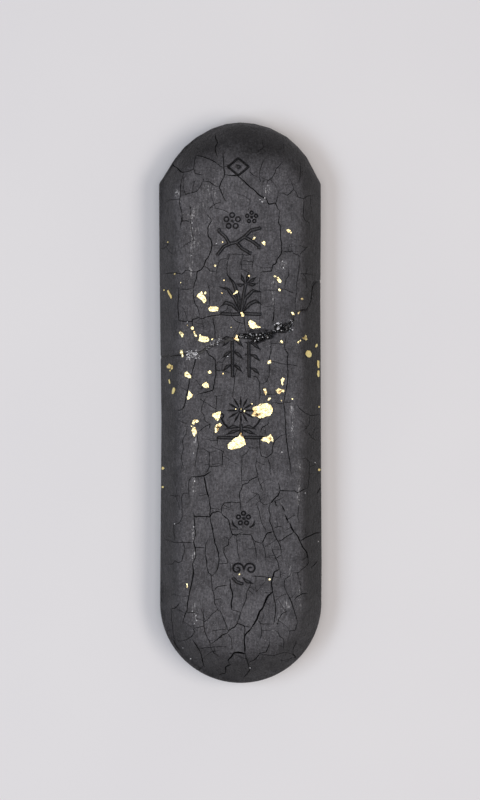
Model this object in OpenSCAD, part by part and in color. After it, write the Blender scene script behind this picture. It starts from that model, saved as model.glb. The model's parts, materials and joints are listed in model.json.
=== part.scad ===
// Old pressed ink stick, broken once and glued, with flakes of gold leaf.
// It lies on its back: length along Y with the head at +Y, pressed face up at +Z.
// The origin is the middle of the resting face.

/* [Stick] */
// Length over the rounded ends
stick_l = 105; // [98:1:112]
// Width across the straight sides
stick_w = 30; // [28:0.5:32]
// Thickness from the resting face to the pressed face
stick_t = 12; // [10:0.5:14]
// Height of the upright band that the two mould halves leave around the rim
rim_h = 1.2; // [0.6:0.1:2]

/* [Faces] */
// How far the flat field stops short of each side
side_inset = 5.2; // [4:0.1:5.6]
// How far the flat field stops short of the head
head_inset = 11; // [9:0.5:11]
// How far the flat field stops short of the foot
foot_inset = 7.7; // [6:0.1:9]
// Share of the rise that the steep flank takes, below the round shoulder
flank_rise = 0.68; // [0.55:0.01:0.75]
// Share of the inset that the steep flank takes
flank_run = 0.42; // [0.35:0.01:0.5]

/* [Ornament] */
// Depth of the pressed lines
line_d = 0.45; // [0.2:0.05:0.7]
// Width of the plain pressed lines
line_w = 0.68; // [0.4:0.02:0.68]

/* [Mend] */
// Gap that the glue film fills
seam_w = 0.16; // [0.1:0.02:0.3]
// Depth of the gouge on the break
gouge_d = 1.1; // [0.6:0.1:1.6]
// Height of the glue crusts above the face
crust_h = 0.3; // [0.15:0.05:0.5]

/* [Gold leaf] */
// Thickness of a flake
leaf_t = 0.06; // [0.04:0.01:0.12]

/* [Hidden] */
mid_z = stick_t / 2;
rise = (stick_t - rim_h) / 2;
across = stick_w / 30;
cut_z = stick_t - line_d;

// Steps of the flank and shoulder: share of the inset, share of the rise.
shoulder_x = flank_run + (1 - flank_rise) * flank_run / flank_rise;
function bend(q, a, b, c) = (1 - q) * (1 - q) * a + 2 * q * (1 - q) * b + q * q * c;
STEPS = concat(
    [[0, 0]],
    [for (q = [0:0.2:1]) [bend(q, flank_run, shoulder_x, 1), bend(q, flank_rise, 1, 1)]]
);

// Height of the face at a distance in from the side, and its slope there.
SIDE = [for (s = STEPS) [s[0] * side_inset, mid_z + rim_h / 2 + s[1] * rise]];
function side_z(d) = lookup(d, SIDE);
function side_tilt(d) = atan2(side_z(d + 0.05) - side_z(d - 0.05), 0.1);

// Line of the break, from the left side to the right side.
BREAK = [
    [-18, 8.4], [-11.7, 8.8], [-7.8, 9.3], [-6.4, 10.1], [-4.4, 11], [-0.8, 12.2],
    [1.1, 12.7], [6.3, 13], [9.6, 15.1], [10.1, 16.9], [12.3, 17.3], [13.3, 18.9],
    [13.4, 20.5], [13.6, 22], [14.2, 22.6], [18, 22.9]
];
SEAM_DIR = [-0.4, 0.92];
ABOVE = [for (p = BREAK) p + SEAM_DIR * seam_w / 2];
BELOW = [for (p = BREAK) p - SEAM_DIR * seam_w / 2];

// Outline of the gouge on the break.
GOUGE = [
    [-0.8, 12], [-0.5, 12.9], [2, 13], [5, 13.2], [6.2, 13.7], [6.4, 12.1],
    [4.6, 11.5], [2.9, 10.8], [2.2, 11.6], [0.5, 11.9]
];

// Chips in the gouge: place, size, turn.
CHIPS = [
    [[0.7, 12.45], [0.9, 0.5, 0.7], 20],
    [[2.5, 12.4], [1.1, 0.6, 0.6], -15],
    [[4.7, 12.5], [0.8, 0.6, 0.8], 35]
];

// Crumbs of each glue crust: x, y, size, turn.
CRUST_LEFT = [
    [-9.6, 8.9, 1, 20], [-8.9, 8.7, 1, 50], [-8.2, 8.8, 0.9, 10], [-9.1, 9.3, 0.9, 35],
    [-8.4, 9.4, 0.7, 60], [-9.5, 8.3, 0.6, 15]
];
CRUST_MIDDLE = [
    [-6.1, 10.4, 0.7, 30], [-5.5, 10.8, 0.9, 10], [-4.8, 10.9, 0.9, 55],
    [-4.2, 11.2, 1, 25], [-3.8, 11.7, 0.7, 70], [-4.6, 11.5, 0.7, 40]
];
CRUST_RIGHT = [
    [6.8, 14, 0.9, 15], [7.4, 14.4, 1, 40], [8, 14.3, 1, 65], [8.6, 14.5, 0.9, 25],
    [9.1, 14.9, 0.9, 50], [9.4, 15.5, 0.7, 10], [7.9, 13.7, 0.7, 30], [8.7, 13.9, 0.7, 55]
];

// Gold flakes: outline of each, seen from above.
FLAKES = [
    [[8.6, 32.1], [9, 32.3], [9.4, 32], [9.3, 31.6], [8.9, 31.7]],
    [[4, 29.8], [4.5, 30.1], [4.75, 29.7], [4.65, 29.2], [4.35, 29.4]],
    [[2.3, 30.3], [2.6, 30.85], [2.95, 30.75], [2.6, 30.3]],
    [[6.8, 23.1], [7.05, 23.45], [7.35, 23.1], [7.65, 22.75], [7.6, 22.3], [7.25, 22.35],
     [7, 22.7]],
    [[7.1, 21.15], [7.35, 21.25], [7.6, 20.95], [7.45, 20.7], [7.2, 20.8]],
    [[-13.7, 20.95], [-13.45, 21.1], [-13.2, 20.5], [-12.85, 20], [-12.8, 19.5],
     [-13, 19.4], [-13.25, 19.9], [-13.5, 20.3]],
    [[-7.5, 20.5], [-7.15, 20.75], [-6.95, 20.2], [-6.45, 19.5], [-6.35, 18.9],
     [-6.75, 18.5], [-7.2, 19.1], [-7.6, 19.4], [-8.1, 19.7], [-7.95, 20.1]],
    [[-6.75, 20.5], [-6.5, 20.75], [-6.25, 20.4], [-6.45, 20.15], [-6.7, 20.2]],
    [[-5.95, 17.5], [-5.6, 17.9], [-5.2, 17.85], [-4.7, 17.95], [-4.2, 17.75],
     [-4.05, 17.4], [-4.3, 17.05], [-4.9, 16.95], [-5.5, 16.95], [-5.85, 17.15]],
    [[-1.4, 20.1], [-1, 20.4], [-0.75, 20.85], [-0.4, 20.85], [-0.45, 20.5], [-0.8, 20.3],
     [-1.15, 20.15]],
    [[0, 16.8], [0.35, 16.85], [0.45, 16.55], [0.75, 16.4], [0.7, 16.1], [0.25, 16],
     [0.2, 16.4]],
    [[1.9, 15.4], [1.5, 15], [1.55, 14.5], [1.85, 14], [2.2, 13.8], [2.9, 13.85],
     [3.4, 13.9], [3.85, 14], [3.5, 14.25], [3.1, 14.4], [2.75, 14.9], [2.3, 15.2]],
    [[9.5, 16.85], [9.75, 16.9], [10.2, 16.5], [10.15, 16.3], [9.7, 16.4]],
    [[10.7, 16.6], [10.8, 16.9], [11.1, 16.9], [11.05, 16.65], [10.85, 16.5]],
    [[-9.3, 13.8], [-9.2, 14.15], [-8.85, 14.2], [-8.7, 13.85], [-8.85, 13.6],
     [-9.15, 13.6]],
    [[-11.5, 13.1], [-11.25, 13.35], [-10.85, 13.1], [-10.65, 12.7], [-10.75, 12.3],
     [-11, 12.05], [-11.15, 12.5], [-11.5, 12.85]],
    [[-8.8, 13.4], [-8.55, 13.3], [-8.45, 12.8], [-8.2, 12.6], [-8.15, 12.3],
     [-8.45, 12.25], [-8.6, 12.55], [-8.75, 12.95]],
    [[-7.75, 12.5], [-7.55, 12.8], [-7.3, 12.45], [-6.8, 12.3], [-6.2, 12.25],
     [-5.85, 11.9], [-5.9, 11.5], [-6.3, 11.3], [-6.9, 11.25], [-7.5, 11.4],
     [-7.85, 11.55], [-7.7, 12]],
    [[-1.4, 12.2], [-1.1, 12], [-0.9, 12.2], [-0.8, 12.65], [-0.55, 12.55], [-0.6, 12.1],
     [-0.3, 11.75], [-0.3, 11.45], [-0.7, 11.6], [-1.2, 11.85]],
    [[7.4, 11.5], [7.65, 11.65], [8, 11.25], [7.9, 11], [7.6, 11.15]],
    [[11.45, 12.05], [11.9, 12.2], [12.15, 12.65], [12.4, 12.5], [12.4, 12.15],
     [12.6, 11.8], [12.3, 11.6], [11.9, 11.8]],
    [[10.6, 11.1], [10.75, 11.4], [11, 11.55], [11.25, 11.8], [11.3, 11.5], [11, 11.3],
     [10.8, 11.05]],
    [[14.05, 10.4], [14.2, 10.9], [14.45, 11.05], [14.55, 10.7], [14.3, 10.35]],
    [[12.15, 9.3], [12.5, 9.75], [13.05, 9.7], [13.35, 9.2], [13.3, 8.65], [12.95, 8.4],
     [12.5, 8.55], [12.2, 8.9]],
    [[-11.25, 9.7], [-10.95, 9.75], [-10.8, 9.3], [-10.75, 8.7], [-10.95, 8.35],
     [-11.1, 8.7], [-11.05, 9.1], [-11.3, 9.3]],
    [[-14, 6.75], [-13.7, 7.05], [-13.45, 7.3], [-13.15, 7.05], [-12.75, 6.95],
     [-12.7, 6.4], [-13, 6.1], [-13.2, 6.4], [-13.55, 6.4], [-13.9, 6.5]],
    [[-10.5, 5.6], [-10.1, 5.8], [-9.7, 5.45], [-9.3, 5], [-9.4, 4.55], [-9.85, 4.6],
     [-10.3, 4.85], [-10.55, 5.1]],
    [[-6.2, 5.7], [-5.9, 6.05], [-5.6, 5.9], [-5.55, 5.5], [-5.85, 5.4], [-6.1, 5.5]],
    [[-7.35, 3.25], [-6.9, 3.7], [-6.5, 3.9], [-6.15, 3.5], [-5.95, 2.9], [-6.35, 2.65],
     [-6.9, 2.85]],
    [[-13.65, 4.3], [-13.45, 4.4], [-13.3, 3.9], [-13.3, 3.55], [-13.5, 3.55],
     [-13.6, 3.95]],
    [[-13, 2.1], [-12.85, 2.6], [-12.6, 2.9], [-12.3, 2.45], [-12.5, 2], [-12.75, 1.6],
     [-13, 1.65]],
    [[-9.75, 2.25], [-9.5, 1.9], [-9, 1.45], [-9.25, 1.05], [-9.6, 0.8], [-9.95, 0.55],
     [-10.15, 0.85], [-9.95, 1.3], [-9.9, 1.8]],
    [[5, 7.4], [5.3, 7.9], [5.65, 7.9], [5.75, 7.5], [5.5, 7.3], [5.2, 7.15]],
    [[14.45, 7.9], [14.85, 7.9], [14.85, 6.6], [14.6, 6.5], [14.4, 7.2]],
    [[14.5, 6], [14.85, 6.05], [14.85, 4.9], [14.6, 4.75], [14.4, 5.4]],
    [[7.45, 4.2], [7.8, 4.65], [8.2, 4.5], [8.1, 4.1], [7.85, 3.75], [7.95, 3.35],
     [7.75, 3.2], [7.55, 3.5], [7.6, 3.9]],
    [[6.55, 2.25], [7.05, 2.7], [7.5, 2.55], [8.1, 2.4], [8.1, 1.95], [7.55, 2],
     [7.3, 1.55], [6.9, 1.75]],
    [[4.1, 2.45], [4.5, 2.75], [4.75, 2.3], [4.85, 1.75], [4.65, 1.4], [4.4, 1.75],
     [4.35, 2.2]],
    [[4.95, 0.5], [5.2, 0.85], [5.6, 1], [5.6, 0.75], [5.3, 0.45], [5.05, 0.35]],
    [[3.4, -0.25], [4.2, -0.15], [4.9, -0.1], [5.55, -0.45], [5.95, -1.15], [5.8, -1.9],
     [5.4, -2.45], [4.7, -2.5], [4, -2.9], [3.4, -2.85], [2.9, -2.5], [2.3, -2.55],
     [1.95, -2.3], [2.4, -1.7], [2.1, -1.1], [2.5, -0.7], [3.1, -0.6]],
    [[-5.45, -2.5], [-5.35, -2.05], [-4.75, -1.85], [-4.2, -1.65], [-3.75, -1.7],
     [-3.95, -2.3], [-4.05, -2.9], [-4.35, -3.4], [-4.8, -3.25], [-5, -2.8]],
    [[-4.75, -4.1], [-4.3, -4], [-4, -3.8], [-3.6, -4.1], [-3.95, -4.5], [-4.3, -5],
     [-4.5, -5.45], [-4.9, -5.6], [-4.95, -4.9]],
    [[-9.15, -3.4], [-8.7, -3.1], [-8.2, -3.2], [-7.95, -3.5], [-8.3, -3.75], [-8.6, -3.6],
     [-8.85, -4.1], [-9.2, -3.9]],
    [[-9.1, -4.7], [-8.7, -4.45], [-8.5, -4.9], [-8.35, -5.5], [-8.65, -6.2],
     [-8.85, -6.3], [-9.1, -5.7], [-9.3, -5.1]],
    [[-0.05, -5.55], [0.15, -6.1], [0.6, -6.8], [0.85, -7.75], [0.35, -8.05], [-0.2, -8.4],
     [-0.9, -8.5], [-1.8, -8.75], [-2.45, -8.55], [-2.5, -7.8], [-1.85, -7.1],
     [-1.2, -6.6], [-0.45, -6.3], [-0.3, -5.9]],
    [[3.75, -6.95], [4.1, -6.55], [4.7, -6.25], [5.2, -6.2], [5.5, -5.8], [5.75, -6.2],
     [6, -6.7], [6, -7.25], [5.5, -7.05], [5.15, -7.6], [4.8, -7.25], [4.2, -7.25]],
    [[5.1, -32.95], [5.35, -32.65], [5.55, -32.75], [5.4, -33.05]],
    [[-10.12, -33.65], [-9.9, -33.6], [-9.85, -34.3], [-10.05, -34.4]]
];
function flake_name(i) = str("gold_flake_", i < 9 ? "0" : "", i + 1);

// ---- Outline tools ----

// Unit normal of a line of points at point i.
function way(p, i) = p[min(i + 1, len(p) - 1)] - p[max(i - 1, 0)];
function normal(p, i) = let (v = way(p, i)) [-v[1], v[0]] / norm(v);

// Closed outline around a line of points, with a width at each point.
function swept(p, w) = concat(
    [for (i = [0:len(p) - 1]) p[i] + normal(p, i) * w[i] / 2],
    [for (i = [len(p) - 1:-1:0]) p[i] - normal(p, i) * w[i] / 2]
);

module stroke(p) {
    polygon(swept(p, [for (q = p) line_w]));
}

// Leaf or petal: thin at the root, full in the middle, pointed at the tip.
module blade(p, belly = 0.6) {
    last = len(p) - 1;
    polygon(swept(p, [for (i = [0:last]) i == last ? 0.08 : i == 0 ? 0.2 : belly]));
}

module ring(at, r, w = 0.3) {
    translate(at) difference() {
        circle(r, $fn = 32);
        circle(r - w, $fn = 32);
    }
}

module dot(at, r) {
    translate(at) circle(r, $fn = 24);
}

module blossom(at, reach, petal_r) {
    for (a = [0:72:288]) ring(at + reach * [sin(a), cos(a)], petal_r, 0.27);
    dot(at, 0.3);
}

// Scroll that winds out from its middle.
function scroll(at, hand, turn = 450) =
    [for (a = [0:45:turn]) at + (0.25 + 0.95 * a / turn) * [hand * sin(a), cos(a)]];

// ---- Pressed ornaments, each about its own middle ----

module plum() {
    stroke([[-3.9, -3.9], [-2.9, -2.6], [-1.7, -2], [-0.4, -1.7], [1, -0.7], [2.2, 0.5], [3.9, 0.9]]);
    stroke([[-1.8, -2.1], [-2.5, -0.8], [-3.6, 0.2]]);
    stroke([[1, -0.8], [2.4, -1.5], [3.5, -2.4]]);
    stroke([[-0.5, -1.8], [0.5, -2.9], [1.7, -3.6]]);
    blossom([-1.3, 2.2], 1.12, 0.62);
    blossom([2.3, 2.9], 0.86, 0.47);
    dot([-3.8, 0.5], 0.42);
    dot([3.7, -2.7], 0.42);
    dot([2, -3.8], 0.36);
}

module orchid() {
    blade([[-0.2, -3.4], [-1, -1], [-2.4, 0.9], [-4, 1.3]], 0.5);
    blade([[0, -3.4], [-0.4, -0.6], [-1.3, 2], [-2.6, 3.7]], 0.5);
    blade([[0.2, -3.4], [0.9, -0.8], [2.3, 0.6], [4.1, 0.3]], 0.5);
    blade([[0.4, -3.4], [1.6, -1.9], [2.9, -1.3], [3.9, -2]], 0.5);
    blade([[-0.4, -3.4], [-1.6, -2], [-2.8, -1.6], [-3.8, -2.4]], 0.5);
    stroke([[0.1, -3.4], [0.5, -0.4], [0.9, 1.6]]);
    blade([[0.8, 2], [0.3, 2.9], [0.1, 3.7]]);
    blade([[1, 2.1], [1.3, 3], [1.4, 3.9]]);
    blade([[1.2, 2], [2.1, 2.5], [3, 3.2]]);
    blade([[1.2, 1.8], [2.2, 1.7], [3.1, 1.9]]);
    blade([[0.7, 1.8], [-0.1, 1.6], [-0.8, 1.9]]);
    stroke([[-3.5, -3.7], [-1.5, -3.8], [1.2, -3.7], [3.7, -3.8]]);
}

module culm(x, joints) {
    for (i = [0:len(joints) - 2]) {
        stroke([[x, joints[i] + 0.15], [x, joints[i + 1] - 0.15]]);
        stroke([[x - 0.5, joints[i + 1] - 0.05], [x + 0.5, joints[i + 1] - 0.05]]);
    }
}

module bamboo() {
    culm(-1.7, [-3.8, -1.5, 1, 3.3]);
    culm(1.4, [-3.8, -2.1, 0.4, 2.6]);
    blade([[-1.5, 3.3], [-0.6, 2.8], [0.4, 1.7]]);
    blade([[-1.8, 3.3], [-2.6, 2.8], [-3.6, 1.8]]);
    blade([[-1.9, 3.4], [-2.7, 3.5], [-3.7, 3.2]], 0.45);
    blade([[1.6, 2.5], [2.5, 2.2], [3.6, 1.2]]);
    blade([[1.6, 2.6], [2.6, 3], [3.7, 2.9]]);
    blade([[1.5, 0.4], [2.5, 0.1], [3.5, -0.9]]);
    blade([[-1.8, 1], [-2.6, 0.6], [-3.6, -0.3]]);
    blade([[-1.6, 1], [-0.7, 0.5], [0.3, -0.5]]);
    blade([[-1.8, -1.5], [-2.6, -1.8], [-3.5, -2.7]]);
    blade([[-1.6, -1.5], [-0.7, -2], [0.2, -3]]);
    blade([[1.5, -2.1], [2.4, -2.4], [3.4, -3.4]]);
}

module chrysanthemum() {
    for (a = [0:30:330])
        blade([for (r = [0.8, 1.7, 2.6]) [0, 1.2] + r * [sin(a), cos(a)]], 0.5);
    ring([0, 1.2], 0.55);
    stroke([[0, -1.5], [0.1, -2.6], [-0.2, -3.7]]);
    for (m = [-1, 1]) {
        blade([[0.1 * m, -2], [1.5 * m, -1.8], [2.9 * m, -2.3]]);
        blade([[0.1 * m, -2.4], [1.4 * m, -2.7], [2.8 * m, -3.3]]);
        stroke([[2.4 * m, -2], [3.2 * m, -1.2], [3.6 * m, -0.4]]);
        ring([3.7 * m, 0.2], 0.62);
    }
    stroke([[-4.2, -3.8], [-1.6, -3.9], [1.4, -3.8], [4.3, -3.9]]);
}

module lozenge() {
    difference() {
        polygon([[-2.3, 0], [0, 1.9], [2.3, 0], [0, -1.9]]);
        polygon([[-1.6, 0], [0, 1.35], [1.6, 0], [0, -1.35]]);
    }
    dot([0, 0], 0.45);
}

module sprig() {
    blossom([0, 0.1], 0.98, 0.54);
    for (m = [-1, 1]) blade([[1.2 * m, -1.6], [1.9 * m, -1.1], [2.1 * m, -0.2]], 0.45);
}

module cloud() {
    stroke(scroll([-1.15, 0.6], 1));
    stroke(scroll([1.25, 0.6], -1));
    blade([[-0.2, -1], [0.5, -1.7], [1.9, -2.2]]);
    stroke([[-1.9, -1.2], [-1.2, -1.9], [-0.3, -2.2]]);
}

// ---- The cake ----

// Outline of the cake at a share of the inset: the head's shallow arc meets the
// sides at a corner, and the foot's half circle runs into them.
function outline(s) = let (
    half = stick_w / 2 - side_inset * s,
    head_r = half + 0.5,
    head_y = stick_l / 2 - head_inset * pow(s, 1.6) - head_r,
    foot_y = -stick_l / 2 + foot_inset * s + half,
    corner = asin(half / head_r)
) concat(
    [for (k = [-12:12]) [head_r * sin(corner * k / 12), head_y + head_r * cos(corner * k / 12)]],
    [for (k = [-12:12]) [-half * sin(7.5 * k), foot_y - half * cos(7.5 * k)]]
);

// Pillow form with an upright rim, the same on both faces.
module cake() {
    translate([0, 0, mid_z]) hull() {
        for (s = STEPS) linear_extrude(rim_h + 2 * rise * s[1], center = true) polygon(outline(s[0]));
    }
}

module pressed(at, z = cut_z) {
    translate([at[0], at[1], z]) linear_extrude(stick_t) children();
}

module gouge(depth = gouge_d) {
    translate([0, 0, stick_t - depth]) linear_extrude(stick_t) polygon(GOUGE);
}

module upper_fragment() {
    color("#54525a") difference() {
        intersection() {
            cake();
            linear_extrude(stick_t) polygon(concat(ABOVE, [[18, stick_l], [-18, stick_l]]));
        }
        gouge();
        pressed([-0.3, 43.9], cut_z - 0.1) lozenge();
        pressed([-0.15, 31.6]) plum();
        pressed([0.1, 20.25]) orchid();
    }
}

module lower_fragment() {
    color("#504e54") difference() {
        intersection() {
            cake();
            linear_extrude(stick_t) polygon(concat(BELOW, [[18, -stick_l], [-18, -stick_l]]));
        }
        gouge();
        pressed([0.15, 8.6]) bamboo();
        pressed([-0.05, -2.65]) chrysanthemum();
        pressed([0.45, -21.65]) sprig();
        pressed([0.5, -31.5]) cloud();
    }
}

module mend_seam() {
    color("#1c1b1d") difference() {
        intersection() {
            cake();
            linear_extrude(stick_t)
                polygon(concat(ABOVE, [for (i = [len(BELOW) - 1:-1:0]) BELOW[i]]));
        }
        gouge();
    }
}

// ---- Glue, chips and gold ----

module glue_pool() {
    color("#161517") intersection() {
        gouge();
        translate([0, 0, stick_t - gouge_d - 1]) cube([5.6, 13.05, 1.2]);
    }
}

module crust(crumbs) {
    color("#c9c9cf") translate([0, 0, stick_t]) for (c = crumbs)
        translate([c[0], c[1], 0]) rotate(c[3])
            linear_extrude(crust_h * (0.6 + 0.4 * c[2])) square([c[2], 0.75 * c[2]], center = true);
}

module ink_chip(i) {
    c = CHIPS[i];
    color("#232225") translate([c[0][0], c[0][1], stick_t - gouge_d + 0.2 + c[1][2] / 2])
        rotate(c[2]) cube(c[1], center = true);
}

// A flake lies just above the face, tilted to it, and covers its outline in plan.
function total(p, i = 0) = i == len(p) ? [0, 0] : p[i] + total(p, i + 1);

module gold_flake(i) {
    middle = total(FLAKES[i]) / len(FLAKES[i]);
    x = middle[0] * across;
    d = stick_w / 2 - abs(x);
    tilt = side_tilt(d);
    color("#d9b45c") translate([x, middle[1], side_z(d)]) rotate([0, sign(x) * tilt, 0])
        translate([0, 0, 0.02]) linear_extrude(leaf_t)
            polygon([for (p = FLAKES[i]) [(p[0] - middle[0]) / cos(tilt), p[1] - middle[1]]]);
}

upper_fragment();
lower_fragment();
mend_seam();
glue_pool();
crust(CRUST_LEFT);  // glue_crust_left
crust(CRUST_MIDDLE);  // glue_crust_middle
crust(CRUST_RIGHT);  // glue_crust_right
for (i = [0:2]) ink_chip(i);
for (i = [0:len(FLAKES) - 1]) gold_flake(i);
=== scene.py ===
import json
import math
import random

import bmesh
import bpy
import numpy as np
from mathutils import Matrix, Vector, noise
from mathutils.geometry import delaunay_2d_cdt
from mathutils.kdtree import KDTree

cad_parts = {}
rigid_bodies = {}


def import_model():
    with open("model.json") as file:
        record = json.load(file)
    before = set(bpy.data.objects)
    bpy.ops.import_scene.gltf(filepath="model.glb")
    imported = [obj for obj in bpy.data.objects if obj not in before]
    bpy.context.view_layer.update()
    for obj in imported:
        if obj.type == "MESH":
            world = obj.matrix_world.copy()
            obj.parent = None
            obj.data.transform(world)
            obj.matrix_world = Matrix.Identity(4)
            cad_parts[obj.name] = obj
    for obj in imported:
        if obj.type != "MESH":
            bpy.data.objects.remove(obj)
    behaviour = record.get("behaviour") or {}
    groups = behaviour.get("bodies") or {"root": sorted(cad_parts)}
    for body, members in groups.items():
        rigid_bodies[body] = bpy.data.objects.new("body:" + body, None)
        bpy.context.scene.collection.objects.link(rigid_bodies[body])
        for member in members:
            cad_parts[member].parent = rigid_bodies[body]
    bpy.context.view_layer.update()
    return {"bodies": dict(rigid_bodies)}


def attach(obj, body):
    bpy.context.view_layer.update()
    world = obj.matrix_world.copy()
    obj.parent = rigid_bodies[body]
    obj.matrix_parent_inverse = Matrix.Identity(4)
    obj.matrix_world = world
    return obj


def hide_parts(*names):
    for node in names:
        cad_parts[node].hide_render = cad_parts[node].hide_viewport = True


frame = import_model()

# An old pressed ink stick. Lengths are in millimetres up to make_mesh(), which
# turns them into metres.
rng = np.random.default_rng(20)

LENGTH, WIDTH, THICK = 105.0, 30.0, 12.0
RIM_H = 1.2
SIDE_INSET, HEAD_INSET, FOOT_INSET = 5.2, 11.0, 7.7
FLANK_RUN, FLANK_RISE = 0.42, 0.68
MID_Z = THICK / 2
RISE = (THICK - RIM_H) / 2
SHOULDER = FLANK_RUN + (1 - FLANK_RISE) * FLANK_RUN / FLANK_RISE
LEDGE = 0.06
# Spacing of the mesh on the front and the back, and rows of faces up the wall.
FRONT_MESH, BACK_MESH, WALL_ROWS = 0.40, 0.46, 8

# Half widths measured along the straight sides: the stick has a slight waist.
LEFT_EDGE = [(-40, -14.95), (-26, -14.85), (-3, -14.68), (10, -14.85), (27, -15.05), (38, -15.12)]
RIGHT_EDGE = [(-38, 15.1), (-30, 15.15), (-9, 15.05), (3, 15.0), (19, 14.92), (34, 15.0)]

# Corners that the trimming knife left around the head.
HEAD_CORNERS = [(-15, 41), (-12.1, 45.7), (-10.3, 47.9), (-8.2, 49.65), (-5.2, 51.35), (-2.6, 52.2),
                (0, 52.5), (2.7, 52.25), (5.6, 51.45), (8.7, 49.8), (10.8, 47.9), (12.4, 46), (15, 41)]
HEAD_R = WIDTH / 2 + 0.5
HEAD_MID = LENGTH / 2 - HEAD_R

# ------------------------------------------------------------------ the form


def smooth(a, b, v):
    """Smooth step of v from 0 at a to 1 at b."""
    t = np.clip((v - a) / (b - a), 0, 1)
    return t * t * (3 - 2 * t)


def inside_outline(x, y, s):
    """Whether a point lies inside the outline at a share s of the inset."""
    half = WIDTH / 2 - SIDE_INSET * s
    head_r = half + 0.5
    head_y = LENGTH / 2 - HEAD_INSET * s ** 1.6 - head_r
    foot_y = -LENGTH / 2 + FOOT_INSET * s + half
    in_head = (y <= head_y) | (np.hypot(x, y - head_y) <= head_r)
    in_foot = (y >= foot_y) | (np.hypot(x, y - foot_y) <= half)
    return (np.abs(x) <= half) & in_head & in_foot


def inset_share(x, y):
    """How far in from the rim a point lies: 0 at the rim, 1 on the flat field."""
    low, high = np.zeros_like(x), np.ones_like(x)
    for _ in range(18):
        mid = (low + high) / 2
        ok = inside_outline(x, y, mid)
        low, high = np.where(ok, mid, low), np.where(ok, high, mid)
    return low


def rise_share(s):
    """Straight flank, then a round shoulder that runs level into the flat field."""
    a = FLANK_RUN - 2 * SHOULDER + 1
    b = SHOULDER - FLANK_RUN
    q = (-b + np.sqrt(np.maximum(b * b - a * (FLANK_RUN - s), 0))) / a
    q = np.clip(q, 0, 1)
    round_part = (1 - q) ** 2 * FLANK_RISE + 2 * q * (1 - q) + q * q
    return np.where(s < FLANK_RUN, s * FLANK_RISE / FLANK_RUN, round_part)


def ledge(x, y):
    """Where the mould's parting line stands out as a narrow ledge."""
    left = smooth(2, -4, x)
    return left * np.maximum(smooth(30, 38, y), smooth(-30, -38, y))


def height(x, y):
    """Height of the smooth face over the middle plane."""
    s = inset_share(x, y)
    cut = LEDGE * ledge(x, y)
    s = np.maximum(s - cut, 0) / (1 - cut)
    return RIM_H / 2 + RISE * rise_share(s)


def fractal(x, y, size, seed, octaves=3):
    """Soft noise of about -1 to 1 with features of the given size."""
    out = np.empty(len(x))
    for i in range(len(x)):
        p = Vector((x[i] / size, y[i] / size, seed * 7.3))
        out[i] = noise.fractal(p, 0.8, 2.0, octaves)
    return out


def hand_worn(x, y):
    """Shifts plan positions so that the even outline gets the real one's unevenness."""
    turn = np.arctan2(x, y - HEAD_MID)
    reach = np.hypot(x, y - HEAD_MID)
    trim = np.interp(turn, HEAD_TURN, HEAD_REACH) / HEAD_R
    at_rim = smooth(0.7, 1.0, reach / HEAD_R) * smooth(HEAD_MID + 3, HEAD_MID + 5.5, y)
    grow = 1 + (trim - 1) * at_rim
    x, y = x * grow, HEAD_MID + (y - HEAD_MID) * grow
    left = np.interp(y, *zip(*LEFT_EDGE))
    right = np.interp(y, *zip(*RIGHT_EDGE))
    return x * (right - left) / WIDTH + (right + left) / 2, y


# ------------------------------------------------- pressed plant ornament

# Width and depth of a pressed line, and the run of its side walls.
LINE_W, LINE_D, LINE_WALL = 0.72, 0.5, 0.2


def circle(at, r):
    turns = [math.radians(a) for a in range(0, 361, 18)]
    return [(at[0] + r * math.sin(t), at[1] + r * math.cos(t)) for t in turns]


def stroke(points, w=LINE_W):
    return [(points, [w] * len(points))]


def blade(points, belly=0.78):
    w = [belly] * len(points)
    w[0], w[-1] = 0.26, 0.12
    return [(points, w)]


def ring(at, r, w=0.36):
    points = circle(at, r - w / 2)
    return [(points, [w] * len(points))]


def dot(at, r):
    return [([(at[0] - 0.02, at[1]), (at[0] + 0.02, at[1])], [2 * r, 2 * r])]


def blossom(at, reach, petal_r):
    out = dot(at, 0.3)
    for a in range(0, 360, 72):
        t = math.radians(a)
        out += ring((at[0] + reach * math.sin(t), at[1] + reach * math.cos(t)), petal_r, 0.36)
    return out


def scroll(at, hand):
    turn = 450
    points = []
    for a in range(0, turn + 1, 30):
        r, t = 0.25 + 0.95 * a / turn, math.radians(a)
        points.append((at[0] + r * hand * math.sin(t), at[1] + r * math.cos(t)))
    return stroke(points, 0.42)


def culm(x, joints):
    out = []
    for low, high in zip(joints, joints[1:]):
        out += stroke([(x, low + 0.15), (x, high - 0.15)])
        out += stroke([(x - 0.5, high - 0.05), (x + 0.5, high - 0.05)], 0.3)
    return out


def plum():
    out = stroke([(-3.9, -3.9), (-2.9, -2.6), (-1.7, -2), (-0.4, -1.7), (1, -0.7), (2.2, 0.5), (3.9, 0.9)])
    out += stroke([(-1.8, -2.1), (-2.5, -0.8), (-3.6, 0.2)])
    out += stroke([(1, -0.8), (2.4, -1.5), (3.5, -2.4)])
    out += stroke([(-0.5, -1.8), (0.5, -2.9), (1.7, -3.6)])
    out += blossom((-1.3, 2.2), 1.12, 0.62) + blossom((2.3, 2.9), 0.86, 0.47)
    return out + dot((-3.8, 0.5), 0.42) + dot((3.7, -2.7), 0.42) + dot((2, -3.8), 0.36)


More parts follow.
